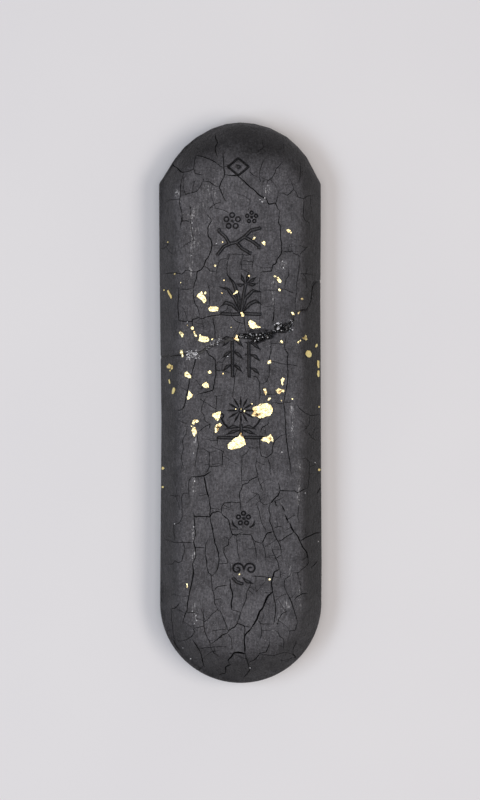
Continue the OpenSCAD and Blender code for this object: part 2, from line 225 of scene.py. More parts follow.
def orchid():
    out = blade([(-0.2, -3.4), (-1, -1), (-2.4, 0.9), (-4, 1.3)])
    out += blade([(0, -3.4), (-0.4, -0.6), (-1.3, 2), (-2.6, 3.7)])
    out += blade([(0.2, -3.4), (0.9, -0.8), (2.3, 0.6), (4.1, 0.3)])
    out += blade([(0.4, -3.4), (1.6, -1.9), (2.9, -1.3), (3.9, -2)])
    out += blade([(-0.4, -3.4), (-1.6, -2), (-2.8, -1.6), (-3.8, -2.4)])
    out += stroke([(0.1, -3.4), (0.5, -0.4), (0.9, 1.6)])
    for tip in ([(0.8, 2), (0.3, 2.9), (0.1, 3.7)], [(1, 2.1), (1.3, 3), (1.4, 3.9)],
                [(1.2, 2), (2.1, 2.5), (3, 3.2)], [(1.2, 1.8), (2.2, 1.7), (3.1, 1.9)],
                [(0.7, 1.8), (-0.1, 1.6), (-0.8, 1.9)]):
        out += blade(tip)
    return out + stroke([(-3.5, -3.7), (-1.5, -3.8), (1.2, -3.7), (3.7, -3.8)])


def bamboo():
    out = culm(-1.7, [-3.8, -1.5, 1, 3.3]) + culm(1.4, [-3.8, -2.1, 0.4, 2.6])
    for points in ([(-1.5, 3.3), (-0.6, 2.8), (0.4, 1.7)], [(-1.8, 3.3), (-2.6, 2.8), (-3.6, 1.8)],
                 [(-1.9, 3.4), (-2.7, 3.5), (-3.7, 3.2)], [(1.6, 2.5), (2.5, 2.2), (3.6, 1.2)],
                 [(1.6, 2.6), (2.6, 3), (3.7, 2.9)], [(1.5, 0.4), (2.5, 0.1), (3.5, -0.9)],
                 [(-1.8, 1), (-2.6, 0.6), (-3.6, -0.3)], [(-1.6, 1), (-0.7, 0.5), (0.3, -0.5)],
                 [(-1.8, -1.5), (-2.6, -1.8), (-3.5, -2.7)], [(-1.6, -1.5), (-0.7, -2), (0.2, -3)],
                 [(1.5, -2.1), (2.4, -2.4), (3.4, -3.4)]):
        out += blade(points)
    return out


def chrysanthemum():
    out = ring((0, 1.2), 0.55)
    for a in range(0, 360, 30):
        t = math.radians(a)
        out += blade([(r * math.sin(t), 1.2 + r * math.cos(t)) for r in (0.8, 1.7, 2.6)], 0.5)
    out += stroke([(0, -1.5), (0.1, -2.6), (-0.2, -3.7)])
    for m in (-1, 1):
        out += blade([(0.1 * m, -2), (1.5 * m, -1.8), (2.9 * m, -2.3)])
        out += blade([(0.1 * m, -2.4), (1.4 * m, -2.7), (2.8 * m, -3.3)])
        out += stroke([(2.4 * m, -2), (3.2 * m, -1.2), (3.6 * m, -0.4)], 0.42)
        out += ring((3.7 * m, 0.2), 0.62)
    return out + stroke([(-4.2, -3.8), (-1.6, -3.9), (1.4, -3.8), (4.3, -3.9)])


def lozenge():
    return stroke([(-1.95, 0), (0, 1.62), (1.95, 0), (0, -1.62), (-1.95, 0)], 0.5) + dot((0, 0), 0.45)


def sprig():
    out = blossom((0, 0.1), 0.98, 0.54)
    for m in (-1, 1):
        out += blade([(1.2 * m, -1.6), (1.9 * m, -1.1), (2.1 * m, -0.2)], 0.5)
    return out


def cloud():
    out = scroll((-1.15, 0.6), 1) + scroll((1.25, 0.6), -1)
    out += blade([(-0.2, -1), (0.5, -1.7), (1.9, -2.2)])
    return out + stroke([(-1.9, -1.2), (-1.2, -1.9), (-0.3, -2.2)])


ORNAMENT = [((-0.3, 43.9), lozenge()), ((-0.15, 31.6), plum()), ((0.1, 20.25), orchid()),
            ((0.15, 8.6), bamboo()), ((-0.05, -2.65), chrysanthemum()),
            ((0.45, -21.65), sprig()), ((0.5, -31.5), cloud())]

# ----------------------------------------------------------- drying cracks
# Each crack is its width and its path. They run mostly lengthwise, with short
# links across, and shrink the cake into plates.

CRACKS = [
    # head
    (.28, (-13.2, 45), (-12.2, 44.2), (-11, 43.1), (-10.4, 43)), (.16, (-10.4, 43), (-9.5, 43.1),
     (-8.5, 43.6)), (.16, (-8.2, 46.2), (-8.5, 45), (-8.5, 43.5), (-8.3, 42.7), (-7, 42.4)), (.2,
     (-8.2, 46.2), (-7, 45.8), (-6.2, 45.6), (-5, 45), (-3.3, 43.8)), (.22, (-4.7, 50.3), (-4.5, 49.3),
     (-4.1, 48.5), (-4.3, 48.1), (-4.6, 47.6), (-4.5, 46.8), (-4.2, 45.9)), (.2, (-3.1, 47), (-3.1, 45.5),
     (-3, 44), (-2.8, 42.6), (-3, 41.9), (-3.6, 40.8), (-3.8, 40), (-3.4, 39), (-2.6, 37.4)), (.26,
     (-2.8, 42.4), (-1.6, 42.2), (-0.5, 42.3), (0.2, 41.7), (1, 40.9), (2, 40), (3, 39.2), (4, 38.3),
     (4.9, 37.9), (5.3, 36.9), (6.6, 37.1), (7.1, 36), (7.4, 35.8)), (.14, (7.1, 39.2), (6.9, 38.2),
     (6.7, 37.2)), (.13, (1.7, 43), (2.3, 42.5), (3.4, 41.9)), (.22, (7.4, 35.8), (7.2, 34.5), (7.1, 33.4),
     (7.6, 32.8), (7.5, 31.5), (7.5, 30.6), (7.7, 29.5), (7.8, 28.5), (7.6, 27.6), (7, 26.8), (6.7, 25.9),
     (6, 25.5), (5.9, 24.5), (4, 24.3)), (.14, (4.5, 45.2), (4, 44.2), (3.6, 42.8), (3.6, 41.8),
     (3.9, 40.8)), (.15, (7.9, 44.8), (7.2, 44), (6.7, 43.6), (6.4, 42.6), (5.9, 41.8), (5.2, 41.3),
     (4.9, 40.6)), (.18, (-10.4, 43), (-10.8, 41.5), (-11, 40), (-11, 38.5), (-11.2, 37.8), (-11.1, 36.5),
     (-10.8, 35.5), (-10.7, 34.2), (-10.9, 33.6), (-11.2, 32.2)), (.14, (-13.8, 37.5), (-13, 37.9),
     (-11.2, 37.8)), (.16, (-10.9, 33.7), (-10, 33.9), (-9.3, 33.6)), (.16, (-6.8, 41.3), (-7.3, 40.3),
     (-8, 39.3), (-9.2, 39), (-10.5, 38.6)), (.16, (-6.8, 41.3), (-5.5, 41), (-4.6, 40.3), (-3.8, 40.1)),
    (.12, (-3.3, 37.4), (-4.5, 37), (-5.5, 36.3), (-5.8, 35.6)), (.12, (-5, 36.2), (-4, 36.1), (-3, 35.8),
     (-2, 35.3)), (.15, (-9.2, 36), (-9.1, 34), (-9, 32.5), (-8.8, 31.2), (-8.6, 30.2), (-9.8, 29.6),
     (-10.8, 28.9)), (.24, (-6.1, 35), (-5.4, 34.2), (-5.3, 33.7), (-5.9, 32.8), (-6, 31.5), (-5.9, 31),
     (-5.4, 30.3), (-5.2, 29.3), (-5.4, 28.2), (-5.8, 27.2), (-6.4, 26.5), (-6.7, 25.5), (-7.2, 24.8),
     (-8, 24.4), (-8.1, 23.3), (-8.5, 22.3), (-8.7, 21.5)), (.14, (11.4, 45), (11.4, 43.5), (11.2, 42),
     (10.8, 41)), (.13, (8.3, 48.4), (8.1, 47.6)), (.15, (7.2, 39), (8.2, 39), (8.7, 38.6), (9.4, 39),
     (10, 39.9), (9.6, 41), (9.2, 41.8)), (.14, (9.9, 39.9), (10.5, 39), (10.7, 38.3), (11.8, 38),
     (12.4, 38.5), (13.6, 38.7)), (.14, (11.8, 38), (11.8, 36.5), (11.7, 35), (12, 34), (12.9, 33.5),
     (12.9, 32)), (.12, (3.2, 46.6), (4, 47.2), (4.7, 47.7)), (.12, (-8.3, 48), (-7.8, 47.3)), (.12,
     (1.9, 38), (1.7, 36.6), (1.5, 35.8)),
    # above the break
    (.13, (-14.9, 28.9), (-14, 29), (-13.3, 29.6)), (.16, (-6.7, 25.5), (-6, 25), (-5.6, 24.5),
     (-4.7, 24.4)), (.13, (-2.2, 27.5), (-2.5, 26.8), (-3.6, 26.7), (-4, 26), (-4.3, 24.8), (-4.4, 23.7)),
    (.15, (-1.9, 27.7), (-2.2, 26.5), (-2.5, 25), (-2.4, 24), (-1.9, 22.8)), (.13, (-1.9, 27.7),
     (-0.5, 27.6), (2, 27.4)), (.12, (2.6, 27.4), (2.4, 26), (2.3, 25)), (.12, (0.3, 26), (0.2, 24.6)),
    (.18, (-8, 24.4), (-9, 24.3), (-9.6, 24.7), (-10.2, 24.6), (-10.8, 23.9), (-12.2, 24.2), (-14.2, 24.2)),
    (.17, (-8.7, 21.5), (-8.8, 20), (-8.5, 18.5), (-8, 17.8), (-7.8, 17), (-7.7, 16)), (.15, (-6.1, 22.2),
     (-5.8, 21.5), (-5.7, 20), (-5.8, 18.5)), (.12, (-11.4, 21.2), (-10, 21), (-8.8, 21.3)), (.19,
     (-11.6, 21.6), (-11.4, 20), (-11.7, 18.5), (-11.6, 17), (-11.5, 15.3), (-10, 15.1), (-9, 15.1),
     (-9, 15.5), (-7.8, 15.8), (-7, 15.6), (-6.3, 16), (-5.2, 16.2), (-4, 16.3), (-3.4, 16.8), (-2.4, 17.4),
     (-2.3, 18)), (.2, (-9, 15.1), (-9, 14.2)), (.2, (-5.1, 16.2), (-5, 15), (-4.8, 13.5), (-4.7, 12)),
    (.15, (-1.9, 17.3), (-1.6, 16.3), (-1.2, 15.4), (-0.5, 15), (0.6, 14.7)), (.18, (0.7, 17), (0.7, 15.5),
     (0.9, 14), (1.1, 13)), (.26, (6.3, 17), (6.2, 16.1), (6.1, 15)), (.14, (4, 21), (6, 20.9), (7, 21),
     (8.3, 21.1), (8.9, 20.8), (10.2, 20.4)), (.14, (8.3, 21.1), (8.4, 22), (8.6, 23), (9, 23.5),
     (9, 24.8)), (.14, (11, 26.5), (11, 25), (10.8, 23.5), (10.6, 22), (10.6, 20.5), (10.3, 19),
     (10.3, 17.5)), (.14, (7.9, 28.3), (8.8, 28), (9.6, 28.3), (9.9, 27.8), (11, 27.4), (11, 26.5)), (.14,
     (11, 27.4), (11.8, 28.3), (12.6, 29.2)), (.16, (14.8, 22.6), (13.7, 22.6), (13.4, 21.8), (13.3, 20.5),
     (13.4, 19.3)), (.12, (11.2, 24), (13.5, 24)), (.13, (3.8, 24), (3.6, 22.5), (3.7, 20.5), (3.8, 18.5),
     (3.7, 16.5), (3.6, 15.5)), (.12, (6.4, 20), (6.3, 18.6), (6.4, 17.3)), (.12, (-7, 15), (-6.9, 13.6)),
    # below the break
    (.2, (8.6, 12.4), (8.3, 11.2), (8.3, 10), (8.9, 9), (8.7, 8), (8.8, 7), (8.8, 5.5), (8.7, 4),
     (8.5, 2.5), (8.2, 1), (8, 0), (8.2, -1), (8.2, -2.5), (8.3, -4), (8.4, -5.5), (8.5, -7), (8.7, -8.5),
     (9, -10), (9.2, -11.5), (9.3, -13.2)), (.22, (-8.4, 9), (-8.6, 7.5), (-9, 6), (-9.3, 5), (-9.7, 4),
     (-9.8, 3), (-10.1, 2), (-10.4, 0.8), (-10.5, -0.3), (-11, -1.2), (-11.8, -1.5)), (.22, (-6.4, 10),
     (-6, 9), (-5.2, 8.4), (-4.8, 8), (-4.7, 6.5), (-4.7, 5), (-5, 3.6), (-5.3, 2.3), (-6.5, 1.9),
     (-8.2, 1.6)), (.15, (-4.8, 7.6), (-3.4, 7.5), (-2.9, 8.3), (-2.6, 9)), (.13, (-4.7, 6), (-3.5, 6),
     (-2, 5.6)), (.15, (0, 6.7), (-0.8, 6.2), (-1.1, 5), (-1.2, 3.5), (-1.4, 2.5), (-1.6, 1.3)), (.15,
     (2, 5.1), (3, 4.7), (3.5, 3.8), (3.6, 2), (3.4, 0.2)), (.17, (3.7, 3.5), (4.8, 3.9), (5.3, 5),
     (5.4, 6.6), (5.3, 8), (5.6, 9.2), (5.7, 11.5)), (.13, (5.9, 7.7), (7.5, 7.3), (8.8, 7.1)), (.13,
     (8.8, 7.1), (10.6, 6.9)), (.14, (6, 0), (7.9, -0.2)), (.13, (8, 0.1), (10, 0.1)), (.15, (-4.6, 1.2),
     (-3.4, 1.3)), (.15, (-4.6, 1.2), (-4.6, 0), (-4.8, -1.5)), (.13, (-6.6, 0.9), (-7.2, -0.2),
     (-7.5, -1.6), (-6.9, -2.5), (-6.8, -3.4), (-5.9, -3.9)), (.15, (-8, -5.4), (-7, -4.6), (-5.8, -4),
     (-6.1, -4.9)), (.12, (-11.9, -3.2), (-11, -3.6), (-10, -4)), (.13, (-10.1, -4.2), (-10.3, -5.6),
     (-11, -7), (-10.8, -8.5), (-11.2, -10), (-11, -11.5), (-11.4, -13)), (.15, (-8, -5.4), (-8.2, -6.5),
     (-8, -7.8), (-8.2, -9), (-8.4, -10.5), (-8.6, -12)), (.15, (-8, -8.6), (-7, -8.6), (-6, -9.2),
     (-5.9, -10.5), (-6, -12), (-6.3, -12.8), (-7, -13.3)), (.12, (-6, -9.2), (-4.6, -9)), (.15,
     (-4.5, -7.6), (-4.4, -6.2)), (.17, (-3.2, -8.4), (-3.5, -9.8), (-3.5, -11.5)), (.14, (-6, -11.8),
     (-4.8, -11.9), (-3.6, -11.6)), (.18, (3.5, -6), (3.4, -7.5), (3.6, -9), (3.8, -10), (4.8, -10.2),
     (5.8, -9.4), (5.9, -8.2), (6.3, -7.1), (7.3, -6.2), (8.3, -5.9)), (.16, (5, -3.2), (5.1, -4),
     (4, -4.6), (3.6, -5.5)), (.16, (1.5, -8.4), (1.1, -9.3), (0.1, -9.9), (0.2, -11.3), (0.1, -13),
     (0.1, -15)), (.14, (1.5, -8.4), (2.6, -8.4), (3.3, -8.2)), (.16, (2.9, -10.5), (2.7, -11.8),
     (3, -13.2)), (.14, (5, -10.4), (5.4, -11.8), (5.4, -13)), (.16, (10.5, -0.4), (11.2, -1.3), (12, -2),
     (13.2, -2.4), (14.5, -2.3)), (.13, (12.9, -2.4), (12.9, -4), (11.8, -5.2)), (.13, (12.6, -5.6),
     (13.4, -6.6), (14.2, -7.2)), (.13, (11, -10.5), (12, -10.3), (12.8, -11), (12.8, -12), (12.7, -14),
     (12.5, -15.9)), (.13, (12.8, -12), (13.9, -11.6)),
    # lower middle
    (.25, (-5.7, -12.8), (-6.2, -13.1), (-6.9, -13.6), (-9.3, -13.8)), (.34, (-6.9, -13.7), (-6.7, -14.8),
     (-6.5, -16), (-6.1, -17.4)), (.22, (-6.1, -17.2), (-5.9, -18.5), (-5.7, -19.8), (-5.8, -21.2),
     (-5.6, -22.2), (-5.3, -23.5), (-5.1, -25), (-4.7, -26.5), (-4.2, -27.8), (-4.1, -29.5), (-4.4, -31),
     (-5, -31.9), (-5.3, -32.2)), (.26, (-8.8, -20.5), (-8.7, -21.2), (-7, -21.1), (-5.8, -21.3),
     (-5.4, -20.5), (-4.4, -20.3), (-3.7, -20.4)), (.2, (-3.7, -20.4), (-3.6, -19.2), (-3.3, -18.7),
     (-1.8, -18.5), (-0.2, -18.6)), (.24, (-3.7, -20.4), (-3.4, -21), (-2.4, -21.7), (-2.1, -22.5),
     (-2, -23.4), (-1.6, -24.5), (-0.9, -24.6), (0, -24.2)), (.2, (3.1, -13.2), (3, -13.8), (1.8, -14.3),
     (1.2, -15), (0.2, -15.2), (0.1, -16), (-0.3, -17), (-0.2, -18.5), (0, -20)), (.17, (3.1, -13.8),
     (3.6, -15.2), (4.1, -16.4)), (.14, (2, -16.6), (3.3, -17.1), (3.6, -18.4), (4.2, -18.9), (5.2, -18.8)),
    (.28, (7.3, -16.3), (6.9, -17.2), (6.1, -18), (5.4, -18.7)), (.2, (5.4, -18.7), (5.2, -19.6),
     (5.4, -21), (5.4, -22.2), (5.9, -23.2), (6.1, -24.3), (6.7, -25.5), (7.3, -26.6), (7.5, -27.8)), (.2,
     (7, -15), (7.3, -16.3), (8.5, -16.4), (10.1, -16.4), (10.5, -16.8), (11.5, -16.3), (12.5, -15.9)),
    (.22, (14.9, -16), (14.2, -17)), (.28, (6.3, -18.2), (6.5, -18.8)), (.28, (7.7, -19.2), (8.1, -20.1)),
    (.26, (8.2, -20.8), (8.7, -22)), (.36, (9.1, -22.4), (9.4, -23.3), (9.9, -24.1)), (.26, (9.9, -24),
     (10.7, -25), (11, -26), (11.6, -27), (12.3, -28), (12.5, -29.3)), (.2, (9.9, -24), (9, -24.6),
     (8, -25.2), (7.4, -25.7)), (.14, (6.1, -23.3), (7.5, -23)), (.26, (11.1, -25.7), (12.4, -25),
     (13.8, -24.4), (14.8, -24.3)), (.12, (10.7, -17), (10.8, -19), (10.6, -21), (10.8, -22.5)), (.14,
     (2.9, -19), (3.4, -20.4), (3.7, -22), (4.3, -23.2), (4.7, -23.9)), (.24, (6, -24), (4.9, -24.2),
     (4.5, -25), (3.9, -26.1)), (.16, (3.9, -26.1), (2.7, -25.9), (2, -25), (1.8, -24.6), (0, -24.5)), (.15,
     (4, -26.2), (4.4, -27.4), (4.6, -29)), (.18, (-1.6, -24.7), (-2.3, -25.5), (-2.3, -26.4),
     (-3.1, -26.9), (-3.2, -27.8), (-2.7, -29), (-2.4, -29.8), (-4.2, -30)), (.15, (-0.8, -25),
     (-0.7, -26.5), (-0.5, -28), (-0.3, -29.2)), (.14, (2, -25.2), (2.6, -26.5), (2.8, -28), (2.9, -29)),
    (.18, (-5.9, -25), (-6.5, -26.2), (-6.7, -28), (-6.4, -29.3), (-6.3, -30.5), (-6.1, -31.5),
     (-5.5, -32.2), (-5.4, -33.5), (-5.3, -34.7), (-4.9, -36), (-4.9, -37.2), (-4.3, -38.5)), (.24,
     (-8.8, -21.2), (-8.6, -23), (-8.5, -24.5), (-8.8, -26), (-8.5, -27), (-8.4, -28.5), (-9, -30)), (.28,
     (-9, -30), (-8.8, -31.5), (-9, -33), (-9.4, -34.5), (-9.7, -36), (-9.9, -37.5), (-10, -38.6)), (.18,
     (-10, -38.6), (-10.4, -39.6), (-10.8, -41)), (.16, (-8.6, -26.9), (-6.7, -27)), (.15, (-14, -25.6),
     (-12.5, -26), (-10.5, -26), (-9, -26)), (.16, (-9.3, -13.8), (-9.8, -14.5), (-9.8, -16),
     (-9.7, -17.5)), (.14, (-9.8, -16.9), (-10.8, -16.8), (-11.2, -17.8), (-11, -20), (-11, -21.5),
     (-11.5, -22.4), (-12.6, -22.8), (-12.6, -24), (-12.3, -26)), (.14, (-13.4, -17.3), (-11.5, -17.4)),
    (.15, (-10.9, -25.8), (-10.4, -27), (-10.8, -28.6), (-11, -29.6), (-11.7, -29.8), (-12.3, -29.4),
     (-12.8, -30.1), (-14.2, -30.2)), (.2, (7.4, -28.3), (6.5, -29), (6.9, -29.8), (7.1, -31)), (.3,
     (7.1, -31), (6.2, -31.5), (5.9, -32.5), (5.7, -33.5), (5.9, -35.2)), (.16, (5.7, -27), (6.1, -28.2),
     (6.5, -29)), (.14, (7.2, -31), (7.4, -32.6)), (.16, (9.4, -31.4), (9.1, -32.2), (8.2, -32.8), (8, -34),
     (8.4, -35)), (.16, (9.4, -31.7), (10.7, -31.6), (11.5, -31), (12.4, -30.2), (12.6, -29.4)), (.22,
     (13.4, -30.5), (14.2, -29.7)), (.15, (2.2, -32.3), (3.8, -32.3), (5.6, -32.6)), (.14, (-2, -30),
     (-1.9, -31.5)), (.28, (-2, -33.2), (-1.9, -34.2), (-1.6, -35.2), (-1.5, -36.2), (-1.8, -37.2),
     (-1.7, -38.5)), (.15, (-1.7, -38.5), (-0.9, -38.7), (-0.2, -39)), (.17, (-4.9, -34.8), (-4.4, -34.2),
     (-2.6, -34)), (.17, (1.9, -33), (1.7, -34.2), (1.2, -35), (1, -36.5), (0.5, -37.8), (0, -39)),
    # foot
    (.22, (0, -39), (-0.3, -40), (-0.6, -41), (-1.1, -41.7), (-2.2, -42.3), (-2.4, -42.8), (-3.5, -43.3),
     (-4.3, -44), (-5.4, -44.8)), (.42, (5.9, -35.2), (5, -36), (4.5, -37), (4.1, -38.1), (3.5, -39),
     (3.1, -40), (2.6, -41), (2, -41.9)), (.34, (2, -41.9), (1.4, -42.6), (0.8, -43.2), (0.7, -44.5),
     (0.8, -45.6), (0.8, -46.6)), (.2, (-0.6, -41), (0.6, -41.5), (0.8, -42), (0.7, -43.3)), (.14,
     (0.8, -41.6), (1.9, -41.8)), (.36, (0.8, -46.7), (-0.5, -46.5), (-1.3, -46.6), (-1.7, -47.3),
     (-2.3, -48), (-2.2, -48.3)), (.3, (-1.9, -48.8), (-2.9, -49.4), (-2.8, -50.2)), (.18, (-2.8, -50.2),
     (-2.8, -50.6), (-4, -51)), (.2, (0.9, -46.8), (1.2, -48), (1.5, -49.2), (1.7, -50), (1.1, -50.8),
     (0.5, -51.4)), (.2, (1.6, -48.3), (2.6, -47.8), (3.3, -47), (3.6, -46.6), (4.7, -46.5), (5.1, -45.5),
     (5.4, -44.4)), (.14, (3.7, -46.8), (5.2, -47), (6, -47.2), (7, -46.9), (8.1, -46.5), (9.6, -47)), (.26,
     (9.6, -47), (10.3, -47.7)), (.16, (9.8, -46.8), (9.8, -45.8), (10.3, -44.8)), (.2, (6, -35.1),
     (6.2, -36.5), (6.5, -38), (6.4, -39.5), (6.3, -40.8), (6, -41.2)), (.14, (6, -41.2), (4, -41.1),
     (3.6, -41), (3.2, -40.4)), (.15, (3.7, -41.2), (3.9, -42.2), (3.9, -43.2), (3.5, -44)), (.2,
     (8.4, -35), (9, -36.2), (9.5, -37.2), (9.9, -38.4), (10.2, -39.6), (10.6, -40.8)), (.14, (10.6, -40.8),
     (10.3, -41.6), (10.1, -42.4), (8.7, -42.4)), (.18, (9.9, -36.6), (10.6, -36), (11.4, -35.6),
     (12.3, -35.5)), (.2, (7.8, -39.2), (7.1, -40.1), (6.9, -40.9)), (.14, (7.8, -39.2), (8.6, -38.8)),
    (.14, (6, -42.2), (6.9, -42.6), (7.3, -43.5), (8, -44), (8, -45.2), (8.1, -46)), (.17, (-6.8, -38.5),
     (-6.9, -40), (-6.8, -41.5), (-6.6, -42.6), (-6.2, -43.7), (-5.7, -44.5), (-5.6, -45.5)), (.15,
     (-8.7, -41.2), (-8.7, -41.9), (-8.7, -42.8), (-9.1, -43.5), (-10, -44.2), (-11, -44.5),
     (-12.2, -44.6)), (.13, (-12.2, -44.6), (-12.6, -43.6), (-12.7, -42), (-12.9, -40.5), (-13, -39),
     (-13, -38.6)), (.17, (-8.7, -41.9), (-7.8, -41.8), (-6.9, -41.6)), (.17, (-4.3, -38.5), (-3.8, -38.7),
     (-3.4, -39.8), (-2.9, -41), (-2.4, -42.2)), (.14, (-4.3, -38.5), (-5.3, -39.3), (-6.2, -40.4),
     (-6.8, -40.9)), (.24, (-8.9, -44.2), (-8.4, -45), (-7.8, -46), (-7.4, -47), (-7.1, -48.2),
     (-6.9, -49.2), (-6.7, -49.5)), (.14, (-7.8, -46), (-6.8, -45.6), (-5.6, -45.5), (-4.3, -45.4),
     (-3, -45.3)), (.18, (-12.6, -44.6), (-12, -45.7), (-11.4, -46.5)), (.22, (-7.9, -50.2), (-7.4, -49.6)),
    (.17, (-13, -38.6), (-12, -38.2), (-11.4, -37.3)), (.12, (-5.6, -45.5), (-5, -46.6), (-4, -47.3)), (.12,
     (-2.3, -43), (-1.7, -44), (-1.6, -45.5)),
]

# ---------------------------------------------------------------- the break

# Course of the break in plan, and the hollows beside it.
BREAK = [(-18, 8.4), (-11.7, 8.8), (-7.8, 9.3), (-6.4, 10.1), (-4.4, 11), (-0.8, 12.2), (1.1, 12.7),
         (6.3, 13), (9.6, 15.1), (10.1, 16.9), (12.3, 17.3), (13.3, 18.9), (13.4, 20.5), (13.6, 22),
         (14.2, 22.6), (18, 22.9)]
GOUGE = [(-0.8, 12), (-0.5, 12.9), (2, 13), (5, 13.2), (6.2, 13.7), (6.4, 12.1), (4.6, 11.5), (2.9, 10.8),
         (2.2, 11.6), (0.5, 11.9)]
GOUGE_D = 1.1
STEP = [(0.9, 13), (1.2, 13.8), (3, 13.7), (4.8, 13.85), (6.2, 13.8), (6.3, 13)]
PIT = [(6.2, 13), (6.3, 14.6), (7.3, 14.9), (8.4, 14.6), (9.2, 14.8), (9.5, 15.4), (9.8, 14.6), (9.4, 13.6),
       (8.5, 13), (7.3, 12.9)]


def resample(points, step):
    p = np.array(points, float)
    run = np.concatenate([[0], np.cumsum(np.hypot(*np.diff(p, axis=0).T))])
    at = np.linspace(0, run[-1], max(2, int(math.ceil(run[-1] / step)) + 1))
    return np.stack([np.interp(at, run, p[:, 0]), np.interp(at, run, p[:, 1])], 1), at / max(run[-1], 1e-9)


def normals(p):
    d = np.gradient(p, axis=0)
    d /= np.maximum(np.hypot(d[:, 0], d[:, 1]), 1e-9)[:, None]
    return np.stack([-d[:, 1], d[:, 0]], 1)


def ragged(p, size, amount, seed):
    n = fractal(p[:, 0], p[:, 1], size, seed)
    return p + normals(p) * (n * amount)[:, None]


def in_polygon(x, y, poly):
    inside = np.zeros(len(x), bool)
    p = np.asarray(poly)
    for (x0, y0), (x1, y1) in zip(p, np.roll(p, -1, axis=0)):
        if y0 == y1:
            continue
        hit = ((y0 > y) != (y1 > y)) & (x < (x1 - x0) * (y - y0) / (y1 - y0) + x0)
        inside ^= hit
    return inside


HEAD_LINE, _ = resample(HEAD_CORNERS, 0.3)
HEAD_TURN = np.arctan2(HEAD_LINE[:, 0], HEAD_LINE[:, 1] - HEAD_MID)
HEAD_REACH = np.hypot(HEAD_LINE[:, 0], HEAD_LINE[:, 1] - HEAD_MID)


def tree_of(points):
    t = KDTree(len(points))
    for i, (x, y) in enumerate(points):
        t.insert((x, y, 0), i)
    t.balance()
    return t


BREAK_LINE, _ = resample(BREAK, 0.2)
BREAK_LINE = ragged(BREAK_LINE, 1.1, 0.16, 1)
BREAK_ACROSS = np.array((-0.4, 0.92))


def half_gap(seed):
    """Half the width of the open joint, widest where its edges have crumbled."""
    x, y = BREAK_LINE.T
    crumbled = 0.2 * np.exp(-((x + 7.4) / 1.0) ** 2) + 0.1 * np.exp(-((x - 11) / 1.4) ** 2)
    return (0.09 + crumbled + 0.07 * fractal(x, y, 0.8, seed))[:, None]


UPPER_EDGE = BREAK_LINE + BREAK_ACROSS * half_gap(2)
LOWER_EDGE = BREAK_LINE - BREAK_ACROSS * half_gap(3)

# ------------------------------------------------------------------ grooves


TRACE_STEP = 0.22
FRONT_HAIRLINES, BACK_HAIRLINES = 125, 120


class Grooves:
    """Cracks and pressed lines of one face: chains of points for the mesh, and a depth at any place."""

    def __init__(self):
        self.chains, self.at, self.half, self.depth, self.wall, self.kind = [], [], [], [], [], []
        self.tree = None

    def add(self, points, width, depth, wall=None, step=0.3, wobble=0.0, seed=0, taper=True):
        p, t = resample(points, step)
        w = np.interp(t, np.linspace(0, 1, len(width)), width)
        if wobble:
            p = ragged(ragged(p, 1.3, wobble, seed), 0.4, 0.6 * wobble, seed + 9)
            w = w * (1 + 0.35 * fractal(p[:, 0], p[:, 1], 1.0, seed + 40))
        if taper:
            w = w * (0.45 + 0.55 * np.minimum(1, np.minimum(t, 1 - t) * 8))
        n, half = normals(p), w / 2
        offsets = [half, -half]
        if wall is None:
            offsets.append(half * 0)
        else:
            offsets += [np.maximum(half - wall, 0), -np.maximum(half - wall, 0)]
            if half.max() > wall + 0.1:
                offsets.append(half * 0)
        self.chains += [p + n * o[:, None] for o in offsets]
        fine, ft = resample(p, 0.05)
        self.at.append(fine)
        fh = np.interp(ft, t, half)
        self.half.append(fh)
        self.depth.append(np.full(len(fine), depth) * (fh / half.max() if wall is None else 1))
        self.wall.append(fh if wall is None else np.full(len(fine), wall))
        self.kind.append(np.full(len(fine), 0 if wall is None else 1))

    def close(self):
        self.at = np.concatenate(self.at)
        self.half, self.depth, self.wall, self.kind = map(
            np.concatenate, (self.half, self.depth, self.wall, self.kind))
        self.tree = tree_of(self.at)
        self.crack_tree = tree_of(self.at[(self.kind == 0) & (self.half > 0.06)][::3])
        self.reach = float(self.half.max())

    def read(self, x, y):
        """Depth, and how far a point is into a crack and into a pressed line, each 0 to 1; the pressed-line
        share is strongest at the walls, where the colour gets painted shade.
        """
        deep, crack, line, bed = (np.zeros(len(x)) for _ in range(4))
        for i in range(len(x)):
            for _, k, dist in self.tree.find_range((x[i], y[i], 0), self.reach):
                h = self.half[k]
                if dist >= h:
                    continue
                t = min(1.0, (h - dist) / self.wall[k])
                deep[i] = max(deep[i], self.depth[k] * t)
                if self.kind[k]:
                    line[i] = max(line[i], t)
                    bed[i] = max(bed[i], h - self.wall[k] - dist)
                else:
                    crack[i] = max(crack[i], t)
        return deep, crack, line * (1 - 0.8 * np.minimum(bed / 0.16, 1))


def add_cracks(grooves, turned=False, shrink=1.0):
    """The main cracks; on the back they are turned end for end."""
    for i, (w, *path) in enumerate(CRACKS):
        if turned:
            path = [(x * 0.97, -y * 0.985 + 0.4) for x, y in path]
        w *= 0.86 * shrink
        grooves.add(path, [w], min(0.8, 2.2 * w), step=TRACE_STEP, wobble=0.075, seed=100 + i + 300 * turned)


